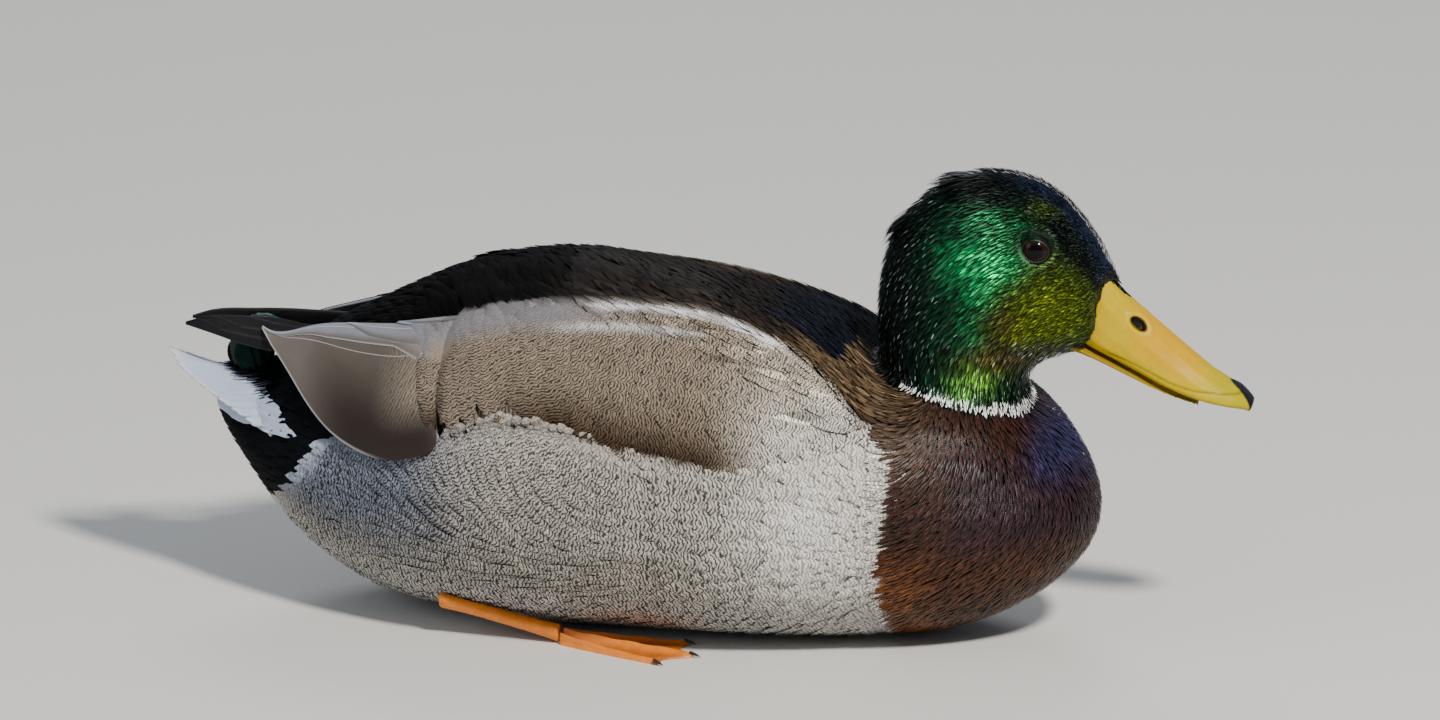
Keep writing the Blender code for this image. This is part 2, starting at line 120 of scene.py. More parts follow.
def node_arrays(*names):
    return join_arrays([read_mesh(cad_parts[name].data) for name in names])


def grid_faces(count, rows, columns):
    """Faces of many grids of points, each rows by columns."""
    i, j = np.meshgrid(np.arange(rows - 1), np.arange(columns - 1), indexing="ij")
    first = (i * columns + j).ravel()
    cell = np.stack([first, first + columns, first + columns + 1, first + 1], axis=1)
    return (cell[None] + (np.arange(count) * rows * columns)[:, None, None]).reshape(-1, 4)


def triangles_of(quads):
    return np.concatenate([quads[:, :3], quads[:, [0, 2, 3]]])


def make_mesh(name, points, faces):
    """A mesh from points in millimetres and faces with the same number of corners each."""
    mesh = bpy.data.meshes.new(name)
    faces = np.asarray(faces)
    corners = faces.shape[1]
    mesh.vertices.add(len(points))
    mesh.vertices.foreach_set("co", (np.asarray(points) * MM).astype(np.float32).ravel())
    mesh.loops.add(faces.size)
    mesh.loops.foreach_set("vertex_index", faces.astype(np.int32).ravel())
    mesh.polygons.add(len(faces))
    mesh.polygons.foreach_set("loop_start", np.arange(0, faces.size, corners, dtype=np.int32))
    mesh.update(calc_edges=True)
    mesh.validate()
    mesh.shade_smooth()
    return mesh


def set_point_values(mesh, name, values):
    """Stores a number or a colour at each point."""
    if values.ndim == 1:
        layer = mesh.attributes.new(name, "FLOAT", "POINT")
        layer.data.foreach_set("value", values.astype(np.float32))
    else:
        layer = mesh.attributes.new(name, "FLOAT_COLOR", "POINT")
        full = np.concatenate([values, np.ones((len(values), 1))], axis=1)
        layer.data.foreach_set("color", full.astype(np.float32).ravel())


def set_uv(mesh, name, uv):
    """Stores a map that is given at each point."""
    layer = mesh.uv_layers.new(name=name)
    corners = np.empty(len(mesh.loops), int)
    mesh.loops.foreach_get("vertex_index", corners)
    layer.data.foreach_set("uv", uv[corners].astype(np.float32).ravel())


def add_object(name, data):
    obj = bpy.data.objects.new(name, data)
    bpy.context.scene.collection.objects.link(obj)
    return obj


def add_piece(name, mesh, material, replaces=()):
    piece = add_object(name, mesh)
    mesh.materials.append(material)
    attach(piece, BODY)
    if replaces:
        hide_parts(*replaces)


def remeshed(points, triangles, voxel, smooth_steps):
    """One even skin over the given bodies, smoothed."""
    obj = add_object("remesh", make_mesh("remesh", points, triangles))
    modifier = obj.modifiers.new("remesh", "REMESH")
    modifier.mode = "VOXEL"
    modifier.voxel_size = voxel * MM
    modifier.adaptivity = 0.0
    graph = bpy.context.evaluated_depsgraph_get()
    made = bpy.data.meshes.new_from_object(obj.evaluated_get(graph))
    bpy.data.objects.remove(obj)
    points, _ = read_mesh(made)
    quads = np.empty(len(made.loops), int)
    made.loops.foreach_get("vertex_index", quads)
    quads = quads.reshape(-1, 4)
    edges = np.empty(len(made.edges) * 2, int)
    made.edges.foreach_get("vertices", edges)
    edges = edges.reshape(-1, 2)
    quads = quads[largest_part(len(points), edges)[quads[:, 0]]]
    points = relaxed(points, edges, smooth_steps)
    used, quads = np.unique(quads, return_inverse=True)
    return points[used], quads.reshape(-1, 4)


def largest_part(count, edges):
    """Which points belong to the biggest connected part."""
    label = np.arange(count)
    while True:
        low = np.minimum(label[edges[:, 0]], label[edges[:, 1]])
        after = label.copy()
        np.minimum.at(after, edges[:, 0], low)
        np.minimum.at(after, edges[:, 1], low)
        after = after[after]
        if (after == label).all():
            return label == np.bincount(label).argmax()
        label = after


def relaxed(points, edges, steps):
    """Points drawn toward their neighbours."""
    count = np.bincount(edges.ravel(), minlength=len(points))[:, None]
    for _ in range(steps):
        total = np.zeros_like(points)
        np.add.at(total, edges[:, 0], points[edges[:, 1]])
        np.add.at(total, edges[:, 1], points[edges[:, 0]])
        points = points + 0.5 * (total / np.maximum(count, 1) - points)
    return points


def point_normals(points, faces):
    """Each point's normal, from the faces round it."""
    a, b, c = points[faces[:, 0]], points[faces[:, 1]], points[faces[:, 2]]
    across = np.cross(b - a, c - a)
    total = np.zeros_like(points)
    for corner in range(faces.shape[1]):
        np.add.at(total, faces[:, corner], across)
    return unit(total)


class Surface:
    """A closed surface that points are laid on."""

    def __init__(self, points, faces):
        self.points, self.faces = points, faces
        self.face_normals = unit(point_normals(points, faces)[faces].mean(axis=1))
        self.tree = BVHTree.FromPolygons(points.tolist(), faces.tolist())

    def nearest(self, points):
        """The nearest place on the surface, its normal and how far it is."""
        found = [self.tree.find_nearest(point) for point in np.asarray(points).tolist()]
        places = np.array([hit[0] for hit in found])
        normals = self.face_normals[[hit[2] for hit in found]]
        return places, normals, np.array([hit[3] for hit in found])

    def distance(self, points):
        return self.nearest(points)[2]

    def hit(self, start, way, *reach):
        """Where a ray first meets the surface, or None."""
        return self.tree.ray_cast(Vector(start), Vector(way), *reach)[0]


solids = {name: Surface(*node_arrays(name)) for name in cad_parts}
trunk_solid = Surface(*node_arrays("trunk", "breast", "rump"))
outer = Surface(*remeshed(*node_arrays(*FLESH), voxel=1.8, smooth_steps=3))
outer_normals = point_normals(outer.points, outer.faces)


# Where a point is on the body.

PROFILE_X = np.linspace(-172.0, 148.0, 65)


def trunk_profile():
    """The trunk's top, bottom, half width and the height where it is widest, along PROFILE_X."""
    found = []
    for x in PROFILE_X:
        top = trunk_solid.hit((x, 0, FAR), (0, 0, -1)).z
        low = trunk_solid.hit((x, 0, -FAR), (0, 0, 1)).z
        heights = np.linspace(low + 1, top - 1, 25)
        hits = [trunk_solid.hit((x, FAR, z), (0, -1, 0)) for z in heights]
        widths = np.array([hit.y if hit is not None else 0.0 for hit in hits])
        widest = widths >= widths.max() - 0.3
        found.append((top, low, widths.max(), heights[widest].mean()))
    return np.array(found).T


PROFILE = trunk_profile()


def trunk_place(points):
    """How far along the trunk the points are, and their angle from its top, alike on both sides."""
    x = points[:, 0]
    top, low, half, middle = (np.interp(x, PROFILE_X, row) for row in PROFILE)
    out = np.abs(points[:, 1]) / np.maximum(half, 1)
    up = points[:, 2] - middle
    up = np.where(up > 0, up / np.maximum(top - middle, 1), up / np.maximum(middle - low, 1))
    return x, np.degrees(np.arctan2(out**0.95, np.sign(up) * np.abs(up) ** 0.95))


def head_place(points):
    """The points in the head's own frame: ahead of the neck's axis, to its left, and up."""
    x, y = points[:, 0] - NECK_X, points[:, 1] - NECK_SHIFT
    ahead = x * math.cos(HEAD_TURN) + y * math.sin(HEAD_TURN)
    left = y * math.cos(HEAD_TURN) - x * math.sin(HEAD_TURN)
    return np.stack([ahead, left, points[:, 2]], axis=1)


def head_vectors(vectors):
    """Vectors of the head's own frame, in the model's."""
    x, y = vectors[:, 0], vectors[:, 1]
    turned_x = x * math.cos(HEAD_TURN) - y * math.sin(HEAD_TURN)
    turned_y = x * math.sin(HEAD_TURN) + y * math.cos(HEAD_TURN)
    return np.stack([turned_x, turned_y, vectors[:, 2]], axis=1)


def head_vector(ahead, left, up):
    return head_vectors(np.array([[ahead, left, up]]))[0]


def from_head(points):
    return head_vectors(points) + np.array([NECK_X, NECK_SHIFT, 0.0])


def distance_to(points, *names):
    """How far points are from the nearest of the named nodes."""
    return np.min([solids[name].distance(points) for name in names], axis=0)


def off_bare(points):
    """How far points are from the bill and the eyes."""
    return distance_to(points, "bill_upper", "bill_lower", "eye_left", "eye_right")


def on_head(points):
    """True on the neck and head, above where they leave the trunk."""
    return distance_to(points, "head", "neck") < trunk_solid.distance(points) - 0.4


# Thin nodes as grids.

VIEW_FAR = 400  # where a view of a thin node starts


class Sheet:
    """Both faces of a thin CAD node, seen along a direction, as grids: rows along x, columns up the node.

    outer is the face that looks against the view, and inner the one behind it.
    """

    def __init__(self, name, view, x, columns):
        self.solid, self.x = solids[name], x
        self.view = unit(np.array(view, float))
        self.up = unit(np.array([0, 0, 1.0]) - self.view[2] * self.view)
        self.low, self.high = self.edges()
        self.share = (1 - np.cos(np.linspace(0, np.pi, columns))) / 2
        heights = self.low[:, None] + (self.high - self.low)[:, None] * self.share
        self.outer, self.inner = self.face(heights, 1), self.face(heights, -1)

    def seen(self, x, height, side=1):
        """Where the view from one side meets the node."""
        start = np.array([x, 0, 0]) - self.view * VIEW_FAR * side + self.up * height
        return self.solid.hit(start, self.view * side)

    def edges(self):
        """The node's lower and upper outline."""
        heights = self.solid.points @ self.up
        span = np.linspace(heights.min(), heights.max(), 120)
        found = []
        for x in self.x:
            inside = [height for height in span if self.seen(x, height) is not None]
            ends = []
            for end, step in ((inside[0], span[0] - span[1]), (inside[-1], span[1] - span[0])):
                for _ in range(6):
                    step = step / 2
                    end = end + step if self.seen(x, end + step) is not None else end
                ends.append(end)
            found.append(ends)
        low, high = np.array(found).T
        for _ in range(2):
            low[1:-1] = (low[:-2] + 2 * low[1:-1] + low[2:]) / 4
            high[1:-1] = (high[:-2] + 2 * high[1:-1] + high[2:]) / 4
        return low, high

    def face(self, heights, side):
        """Points on one face, smoothed across the view only, so the outline stays."""
        depth = np.zeros(heights.shape)
        for row, x in enumerate(self.x):
            hits = [self.seen(x, height, side) for height in heights[row]]
            met = [index for index, hit in enumerate(hits) if hit is not None]
            values = [float(np.array(hits[index]) @ self.view) for index in met]
            depth[row] = np.interp(np.arange(len(hits)), met, values)
        for _ in range(6):
            depth[1:-1] = (depth[:-2] + 2 * depth[1:-1] + depth[2:]) / 4
            depth[:, 1:-1] = (depth[:, :-2] + 2 * depth[:, 1:-1] + depth[:, 2:]) / 4
        across = np.zeros(heights.shape + (3,))
        across[..., 0] = np.asarray(self.x)[:, None]
        return across + heights[..., None] * self.up + depth[..., None] * self.view

    def triangles(self):
        """Triangles of the outer face that look outward."""
        triangles = triangles_of(grid_faces(1, *self.outer.shape[:2]))
        if (point_normals(self.outer.reshape(-1, 3), triangles) @ self.view).sum() > 0:
            triangles = triangles[:, ::-1]
        return triangles


TERTIAL_X = np.concatenate([np.linspace(-75.6, -150, 62), np.linspace(-151, -155.9, 8)])


def tertial_sheet(name, side):
    """A wing's tertial feathers, sunk at their front, where the shoulder feathers lie on them."""
    sheet = Sheet(f"tertials_{name}", (0, -0.80 * side, -0.60), TERTIAL_X, 34)
    sunk = (0.7 * ramp(TERTIAL_X, -90, -77))[:, None, None] * sheet.view
    sheet.outer, sheet.inner = sheet.outer + sunk, sheet.inner + sunk
    return sheet


tertial_sheets = {name: tertial_sheet(name, side) for name, side in SIDES}


# The plumage's colours.

# Painted shadow: the head's shadow on the mantle, navy with a painted reflection of the blue sky.
MANTLE_PAINTED_SHADOW = (0.0032, 0.0043, 0.0088)
BACK_BROWN = (0.0075, 0.0050, 0.0034)
BACK_STREAK = (0.024, 0.017, 0.0115)
VELVET = (0.0012, 0.0011, 0.0012)
COVERT_BLACK = (0.0022, 0.0032, 0.0045)
FLANK_WARM = (0.74, 0.70, 0.63)
FLANK_PAINTED_HIGHLIGHT = (0.90, 0.87, 0.82)
FLANK_GREY = (0.45, 0.41, 0.36)
FLANK_PAINTED_SHADE = (0.20, 0.22, 0.27)
FLANK_END_PAINTED_SHADE = (0.42, 0.46, 0.56)
BELLY_GREY = (0.52, 0.50, 0.47)
WING_GREY = (0.27, 0.215, 0.160)
WING_FRONT = (0.54, 0.475, 0.385)
# Painted shade for the scapulars' lower edge, where they overhang the flank.
WING_PAINTED_SHADE = (0.050, 0.027, 0.012)
WING_SILVER = (0.215, 0.21, 0.235)
WING_WHITE = (0.90, 0.90, 0.92)
SHOULDER_TAN = (0.085, 0.056, 0.030)
CHESTNUT = (0.034, 0.0125, 0.0080)
CHESTNUT_PLUM = (0.025, 0.0100, 0.0135)
CHESTNUT_RED = (0.125, 0.040, 0.009)
CHESTNUT_PALE = (0.080, 0.050, 0.031)
BREAST_PAINTED_SKY = (0.020, 0.022, 0.078)
COLLAR_WHITE = (0.90, 0.90, 0.90)
HEAD_BLACK = (0.0025, 0.0050, 0.0040)
EMERALD_PAINTED_SHEEN = (0.004, 0.31, 0.085)
DEEP_GREEN = (0.002, 0.026, 0.011)
OLIVE = (0.125, 0.175, 0.004)
OLIVE_BROWN = (0.095, 0.064, 0.010)
THROAT_GREY = (0.075, 0.070, 0.050)
LIME = (0.11, 0.30, 0.022)
HEAD_NAVY = (0.006, 0.014, 0.045)
FOREHEAD_BLACK = (0.002, 0.003, 0.005)
RIM_BLACK = (0.002, 0.002, 0.002)
# Painted glints of light on the nape and the lower neck.
GLINT_GREEN = (0.12, 0.17, 0.14)
TERTIAL_BROWN = (0.086, 0.068, 0.051)
TERTIAL_PALE = (0.135, 0.115, 0.097)
TERTIAL_DARK = (0.017, 0.0075, 0.0035)
TERTIAL_SILVER = (0.24, 0.245, 0.285)
TERTIAL_EDGE = (0.46, 0.45, 0.44)
CHARCOAL = (0.0085, 0.0080, 0.0095)
CHARCOAL_EDGE = (0.040, 0.037, 0.036)
SHAFT_BLACK = (0.015, 0.015, 0.015)
SHAFT_GREY = (0.42, 0.44, 0.52)
SHAFT_WHITE = (0.85, 0.84, 0.82)
# The tail's white, painted darker and bluer as in skylit shade.
TAIL_SHADED_WHITE = (0.50, 0.56, 0.71)
TAIL_GREY = (0.30, 0.32, 0.40)
TAIL_TIP = (0.85, 0.84, 0.80)
CURL_BLACK = (0.0015, 0.004, 0.0035)
CURL_PAINTED_SHEEN = (0.004, 0.026, 0.018)
PLUME_GREEN = (0.003, 0.013, 0.010)

# Borders between the plumage's regions, as angles from the top of the trunk, or as places along it.
BACK_EDGE = (
    [-132, -94, -82, -70, -52, -38, -11, 18, 42, 62, 76],
    [18, 32, 32, 30.5, 28.5, 27, 23, 20.5, 25, 34, 46],
)
WING_EDGE = ([-76, -59, -31, -4, 21, 38, 56, 72], [73, 68, 68.6, 71, 72, 73, 70.5, 56])
BREAST_EDGE = ([30, 50, 59, 66, 85, 109, 180], [62, 77, 84.5, 86.5, 85, 83, 80])
UNDERTAIL_EDGE = ([55, 72, 89, 108, 130, 180], [-119, -127, -134, -143, -149, -152])
WING_END = -74.0  # the tertial feathers lie behind this
# How far below the tertials' upper edge the edges of the two silvery feathers run, along x.
SECOND_TERTIAL = (
    [-156, -140, -128, -112, -98, -91.5, -86.5, -80],
    [0.8, 3.6, 7.4, 9.3, 10.6, 14.6, 18.2, 21],
)
THIRD_TERTIAL = ([-121, -110.4, -100.6, -92, -84], [0.6, 6.4, 8.6, 10.5, 12.5])
COLLAR_WIDTH = 1.6
COLLAR_GAP = 138.0  # degrees round from the front, behind which the nape has no white


def tertial_paint(points):
    """Colour and strength of waves on the tertial feathers, and where the scapulars fade into them."""
    sheet = tertial_sheets["right"]
    x = points[:, 0]
    height = 0.8 * points[:, 2] - 0.6 * np.abs(points[:, 1])
    drop = np.interp(-x, -sheet.x, sheet.high) - height
    rise = height - np.interp(-x, -sheet.x, sheet.low)
    pale = ramp(x, -112, -146) + 0.6 * ramp(rise, 22, 44) * ramp(x, -146, -112)
    colour = mix(TERTIAL_BROWN, TERTIAL_PALE, pale)
    colour = mix(colour, TERTIAL_DARK, ramp(rise, 34, 8) * ramp(x, -140, -110))
    second = np.interp(x, *SECOND_TERTIAL)
    silver = ramp(drop, second, second - 3.0)
    colour = mix(colour, WING_GREY, ramp(x, -106, -84) * ramp(rise, 6, 24))
    colour = mix(colour, TERTIAL_SILVER, silver * ramp(x, -78, -92))
    front_silver = ramp(drop, 15, 8) * ramp(x, -94, -78)
    colour = mix(colour, WING_SILVER, 0.8 * front_silver)
    plain = 0.7 * np.maximum(silver, front_silver)
    return colour, 0.95 * ramp(x, -112, -88) * ramp(rise, 2, 16) * (1 - plain)


def wing_paint(points, x, angle, back, wing):
    """Colour and strength of waves on the scapulars, with painted shade toward their lower edge."""
    below, above = angle - back, wing - angle
    shade = mix(WING_GREY, WING_FRONT, ramp(x, 14, 60))
    shade = mix(shade, FLANK_WARM, ramp(x, 26, 56) * ramp(above, 30, 6))
    # Painted shade: the scapulars darken to brown toward their lower edge, where they overhang the flank.
    painted_shade = bell(np.maximum(above, 0), 11.0) * ramp(x, -66, -30) * ramp(x, 46, 22)
    shade = mix(shade, WING_PAINTED_SHADE, 0.92 * painted_shade)
    silver = ramp(x, 0, -40) * ramp(below, 17, 9)
    shade = mix(shade, WING_SILVER, silver * 0.8)
    drop = np.where(points[:, 1] > 0, 10.0, 5.5)
    first = bell(below - drop, 1.6) * ramp(x, -30, -14) * ramp(x, 52, 36)
    second = 0.5 * bell(below - drop - 8, 1.5) * ramp(x, -46, -24) * ramp(x, 22, 0)
    stripe = np.maximum(first, second)
    dark = bell(below, 3.4) * ramp(x, -62, -36) * ramp(x, 50, 36)
    shade = mix(shade, BACK_STREAK, dark)
    shade = mix(shade, WING_WHITE, stripe)
    shade = mix(shade, SHOULDER_TAN, bell(below, 3.5) * ramp(x, 34, 52))
    return shade, 0.95 - 0.8 * np.maximum(stripe, np.maximum(0.75 * silver, 0.7 * dark))


def back_paint(x, angle, back):
    above = back - angle
    dark = mix(VELVET, BACK_BROWN, ramp(x, -60, -14))
    dark = mix(dark, BACK_STREAK, ramp(x, -50, -15) * ramp(above, 12, 1) * 0.55)
    # From x 26 to 40 forward, the back is painted navy, as the head's cast shadow with the sky's blue
    # reflected in it.
    in_head_shadow = mix(dark, MANTLE_PAINTED_SHADOW, ramp(x, 26, 40))
    tan = mix(dark, SHOULDER_TAN, ramp(x, 34, 56) * ramp(angle, 14, 24))
    return mix(tan, in_head_shadow, ramp(above, 7.0, 9.5) * ramp(x, 20, 34))


def breast_paint(points):
    x, z, right = points[:, 0], points[:, 2], -points[:, 1]
    breast = mix(CHESTNUT, CHESTNUT_PLUM, ramp(x, 98, 116) * ramp(z, 84, 66) * ramp(z, 32, 48))
    breast = mix(breast, CHESTNUT_RED, ramp(z, 50, 26) * (0.35 + 0.65 * ramp(x, 106, 88)))
    breast = mix(breast, CHESTNUT_PALE, ramp(x, 108, 90) * ramp(z, 58, 84) * 0.7)
    # A painted reflection of the blue sky on the glossy breast, high at its front.
    breast = mix(breast, BREAST_PAINTED_SKY, ramp(x, 125, 139) * ramp(z, 56, 74) * ramp(right, 42, 22) * 0.8)
    return mix(breast, SHOULDER_TAN, ramp(x, 98, 84) * ramp(z, 84, 96) * 0.85)


def trunk_colours(points, covered=True):
    """Colour and strength of waves at points on the trunk, which wings and tertials may cover."""
    x, angle = trunk_place(points)
    left = points[:, 1] > 0
    back = np.interp(x, *BACK_EDGE) + np.where(left, 14 * ramp(x, 16, 44), 0.0)
    wing = np.interp(x, *WING_EDGE)
    under = x - np.interp(angle, *UNDERTAIL_EDGE)
    colour = mix(FLANK_GREY, FLANK_WARM, ramp(x, 4, 70))
    # A painted highlight: a sunlit spot on the flank ahead of the wing.
    colour = mix(colour, FLANK_PAINTED_HIGHLIGHT, 0.8 * blob(points[:, [0, 2]], (60, 50), (18, 20)))
    # Painted shade: the flank's own grey, darker and bluer toward the rear, as if lit by the sky alone.
    colour = mix(colour, FLANK_PAINTED_SHADE, ramp(x, -48, -96) * ramp(angle, 134, 96))
    colour = mix(colour, BELLY_GREY, ramp(angle, 118, 140))
    # The pale band before the black undertail: partly its own pale colour, partly painted bluish shade.
    colour = mix(colour, FLANK_END_PAINTED_SHADE, ramp(under, 8, 2) * ramp(angle, 112, 96))
    waves = 1 - 0.3 * ramp(x, 20, 64) - 0.6 * ramp(under, 9, 2)

    on_wing = covered & (angle < wing) & (x > -82) & (x < 79)
    on_back = (angle < back + 0.5) & (x < 94)
    far_top = np.where(left, ramp(angle, 52, 36), 0.0)
    on_breast = x > np.interp(angle, *BREAST_EDGE) + 22 * far_top
    on_tertials = covered & (x < WING_END) & (angle >= back) & (angle < 80) & (x > -112)
    for place, (shade, strength) in (
        (on_wing, wing_paint(points, x, angle, back, wing)),
        (on_back, (back_paint(x, angle, back), 0.0)),
        (on_breast, (breast_paint(points), 0.0)),
        (on_tertials, tertial_paint(points)),
        (under < 0, (COVERT_BLACK, 0.0)),
    ):
        colour = np.where(place[:, None], shade, colour)
        waves = np.where(place, strength, waves)
    return colour, waves


def flank_only(points):
    """The flank's colours, with waves that fade at its upper edge, where its tips lie on the wing."""
    x, angle = trunk_place(points)
    colour, waves = trunk_colours(points, covered=False)
    edge = ramp(angle - np.interp(x, *WING_EDGE), 8, 0) * ramp(x, 24, 0)
    return colour, waves * (1 - 0.5 * edge)


# Spots of colour on the side of the head: each with its centre and size, ahead and up, and its strength. The
# emerald ones are partly the head's own green and partly painted sheen, brightest behind the eye.
HEAD_SPOTS = (
    (EMERALD_PAINTED_SHEEN, (((12, 142), (11, 6.5), 1), ((23, 141), (8, 6), 0.9), ((14, 131), (7, 7), 0.6),
               ((20, 156), (10, 4), 0.3), ((10, 115), (5, 6), 0.3))),
    (LIME, (((13, 99), (8, 6), 0.85),)),
    (OLIVE, (((41, 127), (15, 14), 1.15), ((30, 116), (11, 9), 0.92), ((41, 163), (8, 5), 0.69))),
    (OLIVE_BROWN, (((23, 120), (5, 8), 0.6), ((22, 106), (12, 5), 0.9))),
    (THROAT_GREY, (((34, 108), (10, 4), 0.7),)),
)
# A dark line from the eye to the bill.
LORE_START, LORE_END = np.array([41.0, 156.0]), np.array([58.0, 134.0])


def head_colours(points):
    """Colour of points on the neck and head."""
    ahead, side, z = head_place(points).T
    flat = np.stack([ahead, z], axis=1)
    colour = mix(HEAD_BLACK, DEEP_GREEN, ramp(ahead, -16, 0) * ramp(z, 172, 160))
    for tint, places in HEAD_SPOTS:
        share = sum(strength * blob(flat, centre, size) for centre, size, strength in places)
        colour = mix(colour, tint, np.clip(share, 0, 1))
    line = LORE_END - LORE_START
    along = np.clip(((flat - LORE_START) @ line) / (line @ line), 0, 1)
    off = np.linalg.norm(flat - LORE_START - along[:, None] * line, axis=1)
    colour = mix(colour, HEAD_BLACK, ramp(off, 4.5, 1.5) * 0.9)
    colour = mix(colour, HEAD_BLACK, ramp(z, 160, 168) * ramp(ahead, 34, 20))
    colour = mix(colour, HEAD_NAVY, ramp(np.abs(side), 12, 7) * ramp(ahead, 16, 34) * ramp(z, 130, 138))
    return mix(colour, RIM_BLACK, ramp(distance_to(points, "bill_upper", "bill_lower"), 4.2, 1.8))


def collar_share(points):
    """1 on the white collar at the foot of the neck, 0 above it and on the nape."""
    place = head_place(points)
    around = np.degrees(np.abs(np.arctan2(place[:, 1], place[:, 0] - 6)))
    return ((trunk_solid.distance(points) < COLLAR_WIDTH + 0.6) & (around < COLLAR_GAP)).astype(float)


def colours_at(points):
    """Colour and strength of waves anywhere on the plumage."""
    colour, waves = trunk_colours(points)
    head = on_head(points)
    if head.any():
        white = collar_share(points[head]) > 0.5
        colour[head] = np.where(white[:, None], COLLAR_WHITE, head_colours(points[head]))
        waves[head] = 0.0
    return colour, waves


def head_only(points):
    return head_colours(points), np.zeros(len(points))


def collar_paint(points):
    white = collar_share(points)
    return mix(HEAD_BLACK, COLLAR_WHITE, white), 0 * white


def one_colour(colour):
    return lambda points: (np.ones((len(points), 3)) * colour, np.zeros(len(points)))


# The lie of the plumage.


def fan_slope(x, angle):
    """How steeply the flank's feathers sweep up, in radians."""
    return np.radians(66) * ramp(x, 22, -42) * ramp(x, -108, -76) * ramp(angle, 130, 88)


def trunk_lie(points):
    """Which way the feathers point, root to tip: back along the trunk, and away from the neck round it."""
    x, angle = trunk_place(points)
    steep = fan_slope(x, angle)
    way = np.stack([-np.cos(steep), 0 * steep, np.sin(steep)], axis=1)
    away = points - np.array([NECK_X + 6, NECK_SHIFT, 96.0])
    far = np.linalg.norm(away, axis=1)
    near_neck = (ramp(x, 78, 100) * (1 - 0.75 * ramp(far, 34, 84)))[:, None]
    return unit(way * (1 - near_neck) + unit(away) * near_neck)


def head_lie(points):
    ahead, _, z = head_place(points).T
    down = ramp(ahead, 58, -24) * 62 + ramp(z, 122, 100) * 38 * ramp(ahead, 48, 20)
    down = np.radians(np.clip(down, 0, 92))
    return head_vectors(np.stack([-np.cos(down), 0 * down, -np.sin(down)], axis=1))


def wedge_lie(points):
    return np.tile([-0.96, 0.0, 0.28], (len(points), 1))


# The skin.

BODY_DEPTH, HEAD_DEPTH = 2.4, 1.5  # of the skin under the coat's tips


def skin_map(points):
    """An unwrap of the skin: round the trunk on one half of the map, round the head on the other."""
    x, angle = trunk_place(points)
    half = np.where(points[:, 1] > 0, 1, -1)
    trunk = np.stack([0.02 + 0.46 * (x + 200) / 360, 0.5 + half * (0.02 + 0.45 * angle / 180)], axis=1)
    place = head_place(points)
    around = np.degrees(np.arctan2(place[:, 1], place[:, 0] - 12))
    head = np.stack([0.54 + 0.42 * (around + 180) / 360, 0.02 + 0.95 * (place[:, 2] - 70) / 110], axis=1)
    return np.where(on_head(points)[:, None], head, trunk)


def make_skin():
    depth = np.where(on_head(outer.points), HEAD_DEPTH, BODY_DEPTH)
    depth = depth * (0.2 + 0.8 * ramp(off_bare(outer.points), 0.5, 6.0))
    mesh = make_mesh("skin", outer.points - outer_normals * depth[:, None], outer.faces)
    colour, waves = colours_at(outer.points)
    set_point_values(mesh, "tint", colour)
    set_point_values(mesh, "waves", waves)
    set_point_values(mesh, "shaft", 0 * waves)
    set_uv(mesh, "vane", outer.points[:, [1, 0]] / 10)
    set_uv(mesh, "OFBake", skin_map(outer.points))
    add_piece("skin", mesh, plumage("skin_feathers", 0.6, barbs=0.2, noise=0.1), FLESH)


# The faces of the outer surface, and the regions they are in.

HEAD, COLLAR, BREAST, FLANK, FAN, BELLY, WING, BACK, RUMP, UNDERTAIL = range(10)


def region(points):
    x, angle = trunk_place(points)
    found = np.full(len(points), FLANK)
    found[(angle > 128) & (x < 84)] = BELLY
    fan = (x > -92) & (x < 22) & (angle > 66) & (angle < 132)
    found[fan & (found == FLANK)] = FAN
    found[(angle < np.interp(x, *WING_EDGE)) & (x < 80)] = WING
    found[angle < np.interp(x, *BACK_EDGE)] = BACK
    found[(found == BACK) & (x < -30)] = RUMP
    found[x > 84] = BREAST
    found[(x < np.interp(angle, *UNDERTAIL_EDGE) + 8) & (angle > 55)] = UNDERTAIL
    found[(x < -112) & (angle <= 55)] = RUMP
    head = on_head(points)
    found[head] = HEAD
    found[head & (trunk_solid.distance(points) < COLLAR_WIDTH + 0.5)] = COLLAR
    return found


def face_share(points):
    """1 on the face, where feathers are finest, 0 on the crown, nape and neck."""
    place = head_place(points)
    return ramp(place[:, 0], 8, 34) * ramp(place[:, 2], 100, 112)


centres = outer.points[outer.faces].mean(axis=1)
centre_x, centre_angle = trunk_place(centres)
centre_face = face_share(centres)
regions = region(centres)
open_faces = outer.faces[~((centre_x < WING_END + 1) & (centre_angle > 24) & (centre_angle < 84))]
with_tertials = Surface(*join_arrays([
    (outer.points, triangles_of(open_faces)),
    *[(sheet.outer.reshape(-1, 3), sheet.triangles()) for sheet in tertial_sheets.values()],
]))


# Vanes.

PATCH = 0.003  # how wide a tuft is on the OFBake map


